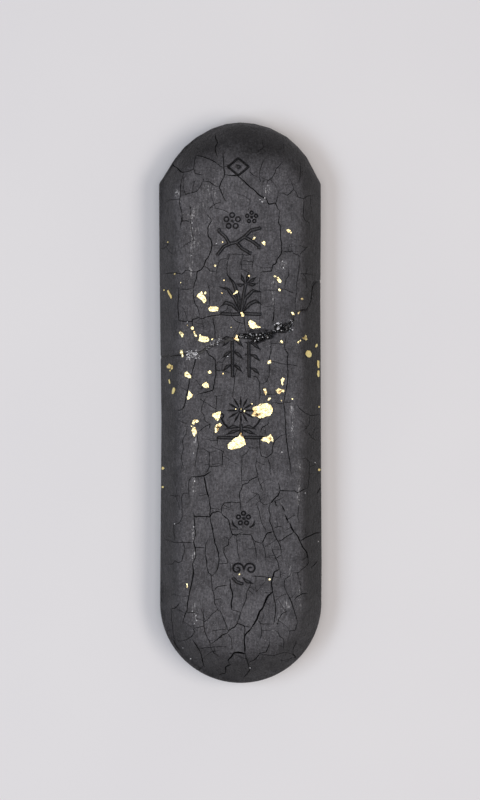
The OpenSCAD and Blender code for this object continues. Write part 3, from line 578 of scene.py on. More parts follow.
def add_hairlines(grooves, count, seed):
    """Fine short cracks that branch off the main ones."""
    r = random.Random(seed)
    main = [p for p, k in zip(grooves.at, grooves.kind) if k[0] == 0]
    for i in range(count):
        line = r.choice(main)
        k = r.randrange(1, len(line) - 1) if len(line) > 2 else 0
        (x, y), across = line[k], normals(line)[k] * r.choice([-1, 1])
        heading = math.degrees(math.atan2(across[1], across[0])) + r.uniform(-30, 30)
        p = [(x, y)]
        for _ in range(r.randint(2, 5)):
            step = r.uniform(0.35, 0.7)
            x, y = x + step * math.cos(math.radians(heading)), y + step * math.sin(math.radians(heading))
            heading += r.uniform(-14, 14)
            p.append((x, y))
        w = r.uniform(0.08, 0.13)
        grooves.add(p, [w, 0.7 * w], 0.14, wobble=0.05, seed=800 + i, taper=False)


front = Grooves()
add_cracks(front)
add_hairlines(front, FRONT_HAIRLINES, 5)
for (ox, oy), lines in ORNAMENT:
    for points, widths in lines:
        moved = [(ox + x, oy + y) for x, y in points]
        front.add(moved, widths, LINE_D, wall=LINE_WALL, step=TRACE_STEP, taper=False)
front.close()

back = Grooves()
add_cracks(back, turned=True, shrink=0.85)
add_hairlines(back, BACK_HAIRLINES, 6)
back.close()

# Hollows along the break: outline, depth, how wide the slope into it is, how fresh it looks.
HOLLOW_PLANS = [(GOUGE, GOUGE_D, 0.4, 1.0), (STEP, 0.6, 0.5, 0.6), (PIT, 0.6, 0.25, 1.0)]
HOLLOWS = []
for seed, (corners, deep, slope, shine) in enumerate(HOLLOW_PLANS):
    line, _ = resample(corners + [corners[0]], 0.2)
    line = ragged(line, 0.9, 0.13, 9 + seed)
    HOLLOWS.append((line, tree_of(line), deep, slope, shine))
break_tree = tree_of(BREAK_LINE)


def near(tree, x, y):
    """Distance of each place from the nearest point of the tree."""
    return np.array([tree.find((a, b, 0))[2] for a, b in zip(x, y)])


def gouge_depth(x, y):
    """Depth of the hollows, and how freshly broken their floor looks."""
    deep, shine = np.zeros(len(x)), np.zeros(len(x))
    rough = np.clip(0.75 + 0.5 * fractal(x, y, 0.5, 11), 0.2, 1.1)
    for line, tree, depth, slope, gloss in HOLLOWS:
        inside = in_polygon(x, y, line)
        d = np.where(inside, near(tree, x, y), 0)
        this = depth * smooth(0, slope, d) * rough
        shine = np.where(inside & (this >= deep), gloss * smooth(0.08, 0.42, d), shine)
        deep = np.maximum(deep, this)
    return deep, shine


# -------------------------------------------------------------- mesh making

BODY = next(iter(frame["bodies"]))


def make_mesh(name, verts, faces, material, attributes=None, sharp=40):
    """Smooth-shaded object from vertices in millimetres, with looks masks as point attributes."""
    me = bpy.data.meshes.new(name)
    me.from_pydata((np.asarray(verts) * 0.001).tolist(), [], [list(map(int, f)) for f in faces])
    me.validate()
    me.update()
    me.materials.append(material)
    me.polygons.foreach_set("use_smooth", [True] * len(me.polygons))
    me.set_sharp_from_angle(angle=math.radians(sharp))
    for key, values in (attributes or {}).items():
        a = me.attributes.new(key, "FLOAT", "POINT")
        a.data.foreach_set("value", np.asarray(values, np.float32))
    ob = bpy.data.objects.new(name, me)
    bpy.context.scene.collection.objects.link(ob)
    return ob


def place(ob, slot, *nodes):
    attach(ob, BODY)
    if nodes:
        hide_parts(*nodes)


def base_points(spacing):
    """Loose points over the whole plan, in staggered rows and a little disordered."""
    out = []
    reach, row_gap = WIDTH / 2 + 0.2, spacing * 0.866
    for j in range(int(LENGTH / row_gap) + 2):
        y = -LENGTH / 2 + j * row_gap
        xs = np.arange(-reach + (j % 2) * spacing / 2, reach, spacing)
        out.append(np.stack([xs, np.full(len(xs), y)], 1))
    p = np.concatenate(out)
    return p + rng.uniform(-0.28, 0.28, p.shape) * spacing


def outline_loop():
    """Boundary of the cake in plan, anticlockwise from the right end of the break."""
    half = WIDTH / 2
    corner = math.asin(half / HEAD_R)
    loop = []
    head_parts, foot_parts, side_step = 130, 136, 0.35
    for k in range(head_parts + 1):
        a = corner - 2 * corner * k / head_parts
        loop.append((HEAD_R * math.sin(a), HEAD_MID + HEAD_R * math.cos(a)))
    head_y = loop[-1][1]
    side = resample([(-half, head_y), (-half, -LENGTH / 2 + half)], side_step)[0]
    loop += [tuple(p) for p in side[1:]]
    for k in range(1, foot_parts):
        a = math.pi * k / foot_parts
        loop.append((-half * math.cos(a), -LENGTH / 2 + half - half * math.sin(a)))
    side = resample([(half, -LENGTH / 2 + half), (half, head_y)], side_step)[0]
    loop += [tuple(p) for p in side[:-1]]
    return np.array(loop)


def fragment_loop(upper):
    """Boundary of one fragment in plan, and which of its points lie on the break."""
    edge = UPPER_EDGE if upper else LOWER_EDGE
    loop = outline_loop()
    y_left, y_right = (edge[np.abs(edge[:, 0] - x).argmin(), 1] for x in (-WIDTH / 2, WIDTH / 2))
    side_y = np.where(loop[:, 0] < 0, y_left, y_right)
    keep = loop[:, 1] > side_y + 0.08 if upper else loop[:, 1] < side_y - 0.08
    start = next(i for i in range(len(loop)) if keep[i] and not keep[i - 1])
    rim = np.roll(loop, -start, axis=0)[np.roll(keep, -start)]
    inner = edge[np.abs(edge[:, 0]) < WIDTH / 2 - 0.05]
    inner = np.concatenate([[(-WIDTH / 2, y_left)], inner, [(WIDTH / 2, y_right)]])
    if not upper:
        inner = inner[::-1]
    whole = np.concatenate([rim, inner])
    on_break = np.concatenate([np.zeros(len(rim), bool), np.ones(len(inner), bool)])
    return whole, on_break


def triangulate(loop, chains, loose):
    """Mesh of a closed loop that follows the chains: points, triangles, and where the loop's points went."""
    pts = [tuple(p) for p in loop]
    edges = [(i, (i + 1) % len(loop)) for i in range(len(loop))]
    edge_tree = tree_of(loop)
    for c in chains:
        ok = in_polygon(c[:, 0], c[:, 1], loop)
        last = None
        for i in range(len(c)):
            if ok[i] and edge_tree.find((c[i][0], c[i][1], 0))[2] > 0.1:
                pts.append(tuple(c[i]))
                if last is not None:
                    edges.append((last, len(pts) - 1))
                last = len(pts) - 1
            else:
                last = None
    fixed = tree_of(pts)
    ok = in_polygon(loose[:, 0], loose[:, 1], loop)
    for x, y in loose[ok]:
        if fixed.find((x, y, 0))[2] > 0.15:
            pts.append((x, y))
    out = delaunay_2d_cdt([Vector(p) for p in pts], edges, [], 0, 1e-5, True)
    v = np.array([tuple(p) for p in out[0]])
    f = np.array([t for t in out[2] if len(t) == 3])
    mid = v[f].mean(axis=1)
    f = f[in_polygon(mid[:, 0], mid[:, 1], loop)]
    where = {}
    for i, ids in enumerate(out[3]):
        for k in ids:
            if k < len(loop):
                where[k] = i
    area = np.cross(v[f[:, 1]] - v[f[:, 0]], v[f[:, 2]] - v[f[:, 0]])
    f = np.where((area < 0)[:, None], f[:, ::-1], f)
    return v, f, [where[k] for k in range(len(loop))]


# Worn, paler places, with painted highlights along the shoulders of the field: middle, reach across, reach
# along, strength.
WEAR_AND_HIGHLIGHTS = [(-9, 33.5, .7, 3.2, .6), (-9.1, 25.5, .7, 3.6, .5), (-8.8, -6.5, .5, 3.8, .75),
          (-8.8, -15.5, .45, 2.6, .8), (-8.9, -23.2, .45, 2.4, .8), (-8.8, -28.5, .5, 1.2, .9),
          (-11.6, 39, .7, 1.2, .6), (-6, 39.5, 3, 3.6, .38), (-0.5, 39.5, 3, 2.4, .3), (5, 39.8, .9, .9, 1),
          (4.2, 37.5, .6, .5, .9), (8, 26, .9, 1.2, 1), (6.2, 20.5, .7, 2.6, .8), (9.6, -4.5, .6, 7, .75),
          (10.8, -15, .5, 7, .7), (9.4, -31, .5, 4, .55), (10.9, -36, .5, 4, .5),
          (-8.3, -38.5, 1.2, 2.8, .55), (8.7, -37.5, .8, .8, .5), (7.5, -40.5, 3.4, 4, .3),
          (10, 35.5, 2, 4, .36), (-7, 31, 3, 6, .4), (-4.5, -42.5, 3, 3, .3)]
# Painted light and shade, with some of the ink's own tone: places where the whole cake is a little lighter
# or darker, given in the same way.
PAINTED_LIGHT_AND_SHADE = [(-1, 35, 7, 9, .21), (9.5, -3, 3, 8, .06), (-10.5, 47, 4, 4, -.2), (1, 48.2, 10, 3.6, -.36),
          (3, 46.2, 6, 1.8, -.3), (-8.5, 47.5, 3, 2.5, -.14), (9, 48, 4, 4, .06), (13.5, 0, 2.4, 40, -.16),
          (12.5, -25, 2.5, 14, -.17), (11.8, 0, 2.2, 60, -.16), (13, 34, 3, 10, -.14),
          (0, -49, 12, 4, -.24), (0, -37, 8, 5, .05), (12, 15, 2.5, 14, -.1), (0, -15, 7, 6, .1),
          (-14, -16, 2.5, 28, -.1), (14.6, -5, 1.6, 60, -.14), (-8.5, 48, 3, 2, -.16),
          (12, -24, 1.5, 12, -.06)]


# Painted shade: how much darker the flanks are painted, and the painted tone of the walls.
FLANK_PAINTED_SHADE = 0.53
WALL_PAINTED_SHADE = 0.62
PLATE_CURL = 0.1


def blend_places(x, y, places):
    return sum(k * np.exp(-(((x - px) / rx) ** 2) - ((y - py) / ry) ** 2)
               for px, py, rx, ry, k in places)


# Wear, with painted highlights along the shoulders, as a mask of 0 to 1.
def wear_and_highlight(x, y):
    return np.clip(blend_places(x, y, WEAR_AND_HIGHLIGHTS) * (0.8 + 0.5 * fractal(x, y, 1.6, 21)), 0, 1)


def painted_shade_and_tone(x, y):
    """Painted shade and tone of the surface: the flanks get a painted shade, the listed places painted light
    and shade, and a soft noise varies the tone.
    """
    flank = 1 - smooth(0.4, 0.8, inset_share(x, y))
    tone = 1 - FLANK_PAINTED_SHADE * flank + blend_places(x, y, PAINTED_LIGHT_AND_SHADE) * (1 - 0.3 * flank)
    return np.clip(tone + 0.05 * fractal(x, y, 3.0, 22), 0.2, 1.5)


def face_sheet(grooves, loop, up, spacing):
    """One face of a fragment: plan points, heights over the middle plane, and looks masks."""
    loose = base_points(spacing)
    chains = list(grooves.chains)
    if up:
        for line, *_ in HOLLOWS:
            chains.append(line)
            extra = rng.uniform(line.min(axis=0), line.max(axis=0), (900, 2))
            loose = np.concatenate([extra[in_polygon(extra[:, 0], extra[:, 1], line)], loose])
    fringe = [BREAK_LINE + rng.normal(0, 0.16, BREAK_LINE.shape) + (0, s) for s in (-0.35, 0.35)]
    loose = np.concatenate([*fringe, loose])
    v, f, ids = triangulate(loop, chains, loose)
    x, y = v[:, 0], v[:, 1]
    z = height(x, y)
    deep, crack, line = grooves.read(x, y)
    inset = inset_share(x, y)
    flat = smooth(0.05, 0.5, inset)
    side = 1 if up else 2
    z += flat * (0.06 * fractal(x, y, 5.0, side) + 0.04 * fractal(x, y, 1.2, side + 4) - 0.09)
    curl = np.exp(-(near(grooves.crack_tree, x, y) / 0.5) ** 2)
    uneven = np.clip(0.6 + fractal(x, y, 2.4, side + 12), 0, 1.3)
    z += smooth(0.05, 0.3, inset) * PLATE_CURL * curl * uneven
    d_break = near(break_tree, x, y)
    chips = np.clip(0.8 + fractal(x, y, 0.6, side + 8), 0, 1.6)
    z -= 0.22 * chips * smooth(0.42, 0.05, d_break)
    fresh = smooth(0.3, 0.06, d_break) * 0.7
    z -= deep
    if up:
        hollow, shine = gouge_depth(x, y)
        z -= hollow
        fresh = np.maximum(fresh, shine)
        line = line * (1 - shine)
    z = np.maximum(z, 0.1)
    z = np.minimum(z, MID_Z)
    masks = {"crack": crack, "line": line, "fresh": fresh, "painted_shade_and_tone": painted_shade_and_tone(x, y), "wear_and_highlight": wear_and_highlight(x, y)}
    return v, z, f, ids, masks


def bake_map(ob, v, sheets, n_loop, rows):
    """Texture map: front and back side by side, and the wall in a strip below."""
    low, high = v[:, 1].min(), v[:, 1].max()
    uv = []
    for sheet, left in zip(sheets, (0.005, 0.51)):
        at = v[sheet.ravel()]
        uv.append(np.column_stack([left + (at[:, 0] + WIDTH / 2 + 0.4) / (WIDTH + 0.8) * 0.485,
                                   0.07 + (at[:, 1] - low) / (high - low) * 0.925]))
    i, row = np.arange(n_loop), np.arange(rows)[:, None]
    u = np.stack([i, i, i + 1, i + 1], 1)[None] / n_loop * np.ones((rows, 1, 1))
    w = np.stack([row, row + 1, row + 1, row], 2) / rows * np.ones((1, n_loop, 1))
    uv.append(np.column_stack([0.005 + 0.99 * u.ravel(), 0.005 + 0.05 * w.ravel()]))
    layer = ob.data.uv_layers.new(name="OFBake")
    layer.data.foreach_set("uv", np.concatenate(uv).astype(np.float32).ravel())


def fragment(name, upper, material):
    """One fragment of the cake: its front (t), its back (b) and the wall between them."""
    loop, on_break = fragment_loop(upper)
    tv, tz, tf, tids, tm = face_sheet(front, loop, True, FRONT_MESH)
    bv, bz, bf, bids, bm = face_sheet(back, loop, False, BACK_MESH)
    verts = [np.column_stack([tv, MID_Z + tz]), np.column_stack([bv, MID_Z - bz])]
    faces = [tf, bf[:, ::-1] + len(tv)]
    n_face = count = len(tv) + len(bv)
    n_loop = len(loop)
    top, low = np.array(tids), np.array(bids) + len(tv)
    out = normals(np.concatenate([loop, loop[:2]]))[:n_loop] * -1
    out[0] = out[1]
    grid = [top]
    for r in range(1, WALL_ROWS):
        t = r / WALL_ROWS
        pz = (MID_Z + tz[top]) * (1 - t) + (MID_Z - bz[low - len(tv)]) * t
        amount = np.where(on_break, 0.0, 0.13 * math.sin(math.pi * t) ** 0.5)
        rough = fractal(loop[:, 0] * 3, pz * 3, 2.2, 30 + upper) * 0.12 - 0.05
        amount = np.where(on_break, rough, amount + 0.02 * rough)
        xy = loop + out * amount[:, None]
        verts.append(np.column_stack([xy, pz]))
        grid.append(np.arange(n_loop) + count)
        count += n_loop
    grid.append(low)
    quads = []
    for a, b in zip(grid, grid[1:]):
        a2, b2 = np.roll(a, -1), np.roll(b, -1)
        quads.append(np.stack([a, b, b2, a2], 1))
    v = np.concatenate(verts)
    v[:, 0], v[:, 1] = hand_worn(v[:, 0], v[:, 1])
    n_wall = len(v) - n_face
    wall_fresh = np.tile(np.where(on_break, 1.0, 0.0), WALL_ROWS - 1)
    masks = {k: np.concatenate([tm[k], bm[k], np.zeros(n_wall)]) for k in tm}
    masks["fresh"][n_face:] = wall_fresh
    # Painted shade on the wall.
    masks["painted_shade_and_tone"][n_face:] = WALL_PAINTED_SHADE
    all_faces = [list(t) for t in np.concatenate(faces)] + [list(q) for q in np.concatenate(quads)]
    ob = make_mesh(name, v, all_faces, material, masks)
    bake_map(ob, v, faces, n_loop, WALL_ROWS)
    place(ob, "ink_body", name)


# ---------------------------------------------------------------- materials


class Shader:
    """Small helper to write node materials."""

    def __init__(self, name):
        self.mat = bpy.data.materials.new(name)
        self.mat.use_nodes = True
        self.tree = self.mat.node_tree
        self.tree.nodes.clear()
        self.out = self.add("ShaderNodeOutputMaterial")
        self.bsdf = self.add("ShaderNodeBsdfPrincipled")
        self.tree.links.new(self.bsdf.outputs[0], self.out.inputs[0])
        self.coords = None

    def add(self, kind, **values):
        n = self.tree.nodes.new(kind)
        for key, v in values.items():
            setattr(n, key, v)
        return n

    def link(self, source, target):
        self.tree.links.new(source, target)

    def mm(self, scale=(1, 1, 1)):
        """Object coordinates in millimetres times a scale."""
        if self.coords is None:
            self.coords = self.add("ShaderNodeTexCoord")
        m = self.add("ShaderNodeMapping")
        m.inputs["Scale"].default_value = [1000 * s for s in scale]
        self.link(self.coords.outputs["Object"], m.inputs["Vector"])
        return m.outputs[0]

    def noise(self, scale, detail=3, rough=0.6, stretch=(1, 1, 1)):
        n = self.add("ShaderNodeTexNoise")
        n.inputs["Scale"].default_value = scale
        n.inputs["Detail"].default_value = detail
        n.inputs["Roughness"].default_value = rough
        self.link(self.mm(stretch), n.inputs["Vector"])
        return n.outputs["Fac"]

    def mask(self, name):
        n = self.add("ShaderNodeAttribute", attribute_name=name)
        return n.outputs["Fac"]

    def feed(self, socket, v):
        """Gives a socket a number or a colour, or links it."""
        if isinstance(v, (int, float)):
            socket.default_value = v
        elif isinstance(v, tuple):
            socket.default_value = (*v, 1)
        else:
            self.link(v, socket)

    def math(self, op, a, b):
        n = self.add("ShaderNodeMath", operation=op)
        self.feed(n.inputs[0], a)
        self.feed(n.inputs[1], b)
        return n.outputs[0]

    def times(self, a, b):
        return self.math("MULTIPLY", a, b)

    def plus(self, a, b):
        return self.math("ADD", a, b)

    def ramp(self, value, stops):
        n = self.add("ShaderNodeValToRGB")
        e = n.color_ramp.elements
        while len(e) > len(stops):
            e.remove(e[-1])
        while len(e) < len(stops):
            e.new(0.5)
        for el, (pos, col) in zip(e, stops):
            el.position = pos
            el.color = (*col, 1)
        self.link(value, n.inputs["Fac"])
        return n.outputs["Color"]

    def mix(self, fac, a, b, blend="MIX"):
        n = self.add("ShaderNodeMix", data_type="RGBA", blend_type=blend)
        for key, v in (("Factor", fac), ("A", a), ("B", b)):
            self.feed(n.inputs[key], v)
        return n.outputs["Result"]

    def span(self, value, a, b, lo=0.0, hi=1.0):
        n = self.add("ShaderNodeMapRange")
        for key, v in (("From Min", a), ("From Max", b), ("To Min", lo), ("To Max", hi)):
            n.inputs[key].default_value = v
        self.link(value, n.inputs["Value"])
        return n.outputs["Result"]

    def bump(self, heightmap, strength, distance):
        n = self.add("ShaderNodeBump")
        n.inputs["Strength"].default_value = strength
        n.inputs["Distance"].default_value = distance
        self.link(heightmap, n.inputs["Height"])
        self.link(n.outputs[0], self.bsdf.inputs["Normal"])

    def set(self, **values):
        for key, v in values.items():
            self.feed(self.bsdf.inputs[key.replace("_", " ")], v)


DUST_AND_HIGHLIGHT_GREY = (0.28, 0.276, 0.286)
INK_TONES = [(0.405, (0.041, 0.0397, 0.0435)), (0.5, (0.0755, 0.073, 0.080)),
             (0.595, (0.131, 0.1275, 0.138))]


def ink_material():
    s = Shader("old_ink")
    worn_and_lit, shade_and_tone, fresh = s.mask("wear_and_highlight"), s.mask("painted_shade_and_tone"), s.mask("fresh")
    # The dull, dusty ink, in patches and with a grain along the stick.
    patches = s.noise(0.3, 3, 0.55)
    grain = s.noise(1.7, 4, 0.65, (2.0, 0.45, 1.0))
    speck = s.noise(2.8, 3, 0.7)
    tone = s.plus(s.times(patches, 0.25), s.plus(s.times(grain, 0.3), s.times(speck, 0.45)))
    # Painted light and shade, with the ink's own tone, multiplied into the colour.
    base = s.mix(1.0, s.ramp(tone, INK_TONES), shade_and_tone, "MULTIPLY")
    # Worn places, with painted highlights along the shoulders: rubbed paler, then streaked, then dotted with
    # pale dust and painted glints.
    pale_patch = s.span(s.noise(3.0, 5, 0.8, (1.1, 0.8, 1)), 0.5, 0.62)
    base = s.mix(s.times(s.times(pale_patch, worn_and_lit), 0.42), base, DUST_AND_HIGHLIGHT_GREY)
    streak = s.span(s.noise(1.6, 3, 0.6, (2.4, 0.2, 1)), 0.49, 0.55)
    base = s.mix(s.times(s.times(streak, worn_and_lit), 0.16), base, DUST_AND_HIGHLIGHT_GREY)
    dots = s.span(s.noise(2.8, 3, 0.7, (1.4, 0.7, 1)), 0.53, 0.58)
    dotted = s.times(s.times(streak, dots), s.span(worn_and_lit, 0.25, 0.6))
    base = s.mix(s.times(dotted, 0.85), base, (0.66, 0.65, 0.66))
    # Painted glints: sparse pale specks on the field, standing in for highlights.
    glint = s.times(s.span(s.noise(3.6, 2, 0.5), 0.67, 0.73), s.span(shade_and_tone, 0.75, 1.0))
    base = s.mix(s.times(glint, 0.4), base, (0.5, 0.49, 0.5))
    # Painted shade: near black on the walls of the pressed lines and in the cracks, where the grooves lie in
    # shade; clean black on the fresh break.
    base = s.mix(s.times(s.mask("line"), 0.92), base, (0.004, 0.004, 0.0045))
    crack = s.span(s.mask("crack"), 0.0, 0.4)
    base = s.mix(s.times(crack, 0.95), base, (0.003, 0.003, 0.0035))
    base = s.mix(fresh, base, (0.014, 0.0135, 0.0145))
    rough = s.span(s.noise(1.4, 3, 0.6), 0.3, 0.7, 0.42, 0.58)
    s.set(Base_Color=base, Roughness=s.mix(fresh, rough, (0.18, 0.18, 0.18)), Specular_IOR_Level=0.3)
    s.bump(s.plus(s.times(grain, 0.7), s.times(s.noise(1.5, 4, 0.6), 0.6)), 1.0, 0.00045)
    return s.mat


def glossy_ink():
    s = Shader("fresh_ink")
    n = s.noise(2.5, 4, 0.6)
    s.set(Base_Color=s.ramp(n, [(0.3, (0.006, 0.006, 0.007)), (0.7, (0.022, 0.021, 0.023))]),
          Roughness=s.span(n, 0.3, 0.7, 0.1, 0.3))
    s.bump(n, 0.5, 0.0001)
    return s.mat


def dark_glue():
    s = Shader("dark_glue")
    n = s.noise(1.8, 4, 0.6)
    dark = s.ramp(n, [(0.3, (0.008, 0.0075, 0.008)), (0.7, (0.02, 0.019, 0.02))])
    # Pale splinters are painted near white, as glints on the glossy glue.
    s.set(Base_Color=s.mix(s.mask("pale"), dark, (0.75, 0.75, 0.77)),
          Roughness=s.span(n, 0.3, 0.7, 0.2, 0.45), Specular_IOR_Level=0.25)
    s.bump(n, 0.4, 0.0001)
    return s.mat


def pale_glue():
    s = Shader("glue_crust")
    n = s.noise(2.6, 4, 0.65)
    pale = s.ramp(n, [(0.35, (0.19, 0.19, 0.20)), (0.5, (0.5, 0.5, 0.52)), (0.61, (0.9, 0.9, 0.92))])
    s.set(Base_Color=s.mix(s.mask("pale"), (0.012, 0.012, 0.013), pale),
          Roughness=s.span(n, 0.3, 0.7, 0.12, 0.4))
    s.bump(n, 0.5, 0.0001)
    return s.mat


def gold_material():
    s = Shader("gold_leaf")
    n = s.noise(1.3, 4, 0.6)
    fine = s.noise(5.0, 3, 0.6)
    col = s.ramp(n, [(0.35, (0.97, 0.75, 0.37)), (0.5, (1.0, 0.86, 0.47)), (0.65, (1.0, 0.92, 0.55))])
    # Painted shade: leaf on the flanks is tinted a deeper, darker yellow for its weaker reflection there.
    col = s.mix(s.mask("flank"), col, (0.98, 0.97, 0.74), "MULTIPLY")
    # Where it is torn, the leaf is stained brown and then gone.
    torn = s.plus(s.noise(1.6, 5, 0.72), s.times(s.mask("torn"), 0.23))
    col = s.mix(s.times(s.span(torn, 0.6, 0.67), 0.85), col, (0.42, 0.23, 0.08))
    col = s.mix(s.span(torn, 0.71, 0.74), col, (0.02, 0.018, 0.016))
    s.set(Base_Color=col, Roughness=s.span(fine, 0.3, 0.7, 0.3, 0.46), Metallic=1.0)
    s.bump(s.plus(n, s.times(fine, 0.4)), 0.5, 0.00013)
    return s.mat


INK = ink_material()
FRESH = glossy_ink()
GLUE = dark_glue()
PALE = pale_glue()
GOLD = gold_material()

# ------------------------------------------------------------ cake and mend

fragment("upper_fragment", True, INK)
fragment("lower_fragment", False, INK)


FILM_HALF, FILM_BELOW = 0.36, 0.5


def seam():
    """Film of set glue in the break, a little below the face on both sides."""
    p, _ = resample(BREAK_LINE[np.abs(BREAK_LINE[:, 0]) < WIDTH / 2 + 0.12], 0.3)
    n = normals(p)
    rows = []
    for side, across in ((1, -1), (1, 0), (1, 1), (-1, 1), (-1, 0), (-1, -1)):
        x, y = (p + n * across * FILM_HALF).T
        z = height(x, y) - FILM_BELOW + (0.06 if across == 0 else 0) + 0.05 * fractal(x, y, 0.7, 50)
        hollow, _ = gouge_depth(x, y)
        if side > 0:
            z = z - hollow - 0.1 * (hollow > 0)
        z = np.maximum(z, 0.3)
        rows.append(np.column_stack([*hand_worn(x, y), MID_Z + side * z]))
    m, k = len(p), len(rows)
    verts = np.concatenate(rows)
    faces = []
    for r in range(k):
        for i in range(m - 1):
            a, b = r * m + i, ((r + 1) % k) * m + i
            faces.append([a, b, b + 1, a + 1])
    faces.append([r * m for r in range(k)][::-1])
    faces.append([r * m + m - 1 for r in range(k)])
    place(make_mesh("mend_seam", verts, faces, GLUE), "dark_glue", "mend_seam")


seam()


def shard(r, size, flat=0.6):
    """Corners of an irregular splinter about its own middle."""
    pts = [Vector((r.gauss(0, 1), r.gauss(0, 1), r.gauss(0, 1))).normalized() for _ in range(9)]
    return [Vector((p.x * size * r.uniform(0.7, 1.2), p.y * size * r.uniform(0.5, 1), p.z * size * flat))
            for p in pts]


def hull_mesh(groups):
    """Vertices and faces of the hulls of several point groups, and each hull's number of corners."""
    verts, faces, sizes = [], [], []
    for pts in groups:
        bm = bmesh.new()
        for p in pts:
            bm.verts.new(p)
        res = bmesh.ops.convex_hull(bm, input=bm.verts)
        inner = [e for e in res["geom_interior"] if isinstance(e, bmesh.types.BMVert)]
        bmesh.ops.delete(bm, geom=inner, context="VERTS")
        index = {v: i + len(verts) for i, v in enumerate(bm.verts)}
        verts += [tuple(v.co) for v in bm.verts]
        faces += [[index[v] for v in f.verts] for f in bm.faces]
        sizes.append(len(index))
        bm.free()
    return verts, faces, sizes


def face_z(x, y):
    """Height of the front face at one place."""
    return float(MID_Z + height(np.array([float(x)]), np.array([float(y)]))[0])


def shards(name, spots, material, slot, seed, count, size, spread, sink=0.04):
    """One piece made of many small splinters around the given spots, a share of them pale."""
    r = random.Random(seed)
    groups, tints = [], []
    for x, y, scale, pale in spots:
        for _ in range(count):
            px, py = x + r.gauss(0, spread) * scale, y + r.gauss(0, spread) * scale
            d = r.uniform(*size) * scale
            z = face_z(px, py) - sink + r.uniform(0, 0.6) * d
            groups.append([p + Vector((px, py, z)) for p in shard(r, d)])
            tints.append(1.0 if r.random() < pale else 0.0)
    verts, faces, sizes = hull_mesh(groups)
    ob = make_mesh(name, verts, faces, material, {"pale": np.repeat(tints, sizes)}, sharp=20)
    place(ob, slot, name)


# Spots of set glue: middle, scale, share of pale splinters.
CRUST_LEFT = [(-9.6, 8.9, 1, .9), (-8.9, 8.7, 1, 1), (-8.2, 8.8, .9, .9), (-9.1, 9.3, .9, .9),
              (-8.4, 9.4, .7, .7), (-9.5, 8.3, .6, .9)]
CRUST_MIDDLE = [(-6.1, 10.4, .7, .6), (-5.5, 10.8, .9, .8), (-4.8, 10.9, .9, .8), (-4.2, 11.2, 1, .7),
                (-3.8, 11.7, .7, .6), (-4.6, 11.5, .7, .8)]
CRUST_RIGHT = [(6.5, 14.6, .9, .4), (7.1, 14.5, 1, .3), (6.9, 13.7, 1, .06), (7.7, 14.2, 1, .08),
               (8.3, 14.1, 1, .03), (8.8, 14.4, 1, .05), (9.4, 14.3, .9, .35), (9.6, 15, .9, .45),
               (8.1, 13.4, .9, .05), (8.9, 13.6, .9, .08), (9.5, 13.7, .7, .3), (7.5, 13.2, .7, .08),
               (6.4, 13.4, .7, .08)]
shards("glue_crust_left", CRUST_LEFT, PALE, "glue_crust", 1, 14, (0.1, 0.24), 0.32)
shards("glue_crust_middle", CRUST_MIDDLE, PALE, "glue_crust", 2, 10, (0.07, 0.18), 0.3)
shards("glue_crust_right", CRUST_RIGHT, PALE, "glue_crust", 3, 10, (0.16, 0.36), 0.3, 0.2)

# Crumbs of ink in the gouge: middle, and size along each axis.
CHIPS = [((0.7, 12.45), (0.9, 0.5, 0.7)), ((2.5, 12.4), (1.1, 0.6, 0.6)), ((4.7, 12.5), (0.8, 0.6, 0.8))]
for i, ((cx, cy), (sx, sy, sz)) in enumerate(CHIPS):
    r = random.Random(60 + i)
    groups = []
    for _ in range(7):
        x = cx + r.uniform(-0.3, 0.3) * sx
        y = cy + r.uniform(-0.3, 0.3) * sy
        z = THICK - GOUGE_D + 0.35 + r.uniform(0, 0.35) * sz
        groups.append([p + Vector((x, y, z)) for p in shard(r, 0.32 * sx, 0.8)])
    v, f, _ = hull_mesh(groups)
    name = "ink_chip_%d" % (i + 1)
    place(make_mesh(name, v, f, FRESH, sharp=20), "fresh_ink", name)


# Splinters of dark glue in the gouge: middle, scale, share of pale splinters, which are painted glints.
POOL = [(0.3, 12.6, .8, .35), (0.9, 12.3, .9, .3), (1.6, 12.5, 1, .3), (2.4, 12.6, 1, .3),
        (2.6, 11.6, 1, .05), (3.3, 12.3, 1, .2), (3.6, 11.7, .8, .05), (4.2, 12.5, 1, .2),
        (5, 12.5, 1, .08), (5.6, 12.8, .9, .1), (3, 12.7, .8, .3), (-0.2, 12.4, .6, .2)]
shards("glue_pool", POOL, GLUE, "dark_glue", 77, 16, (0.08, 0.22), 0.26, GOUGE_D - 0.35)

# ---------------------------------------------------------------- gold leaf

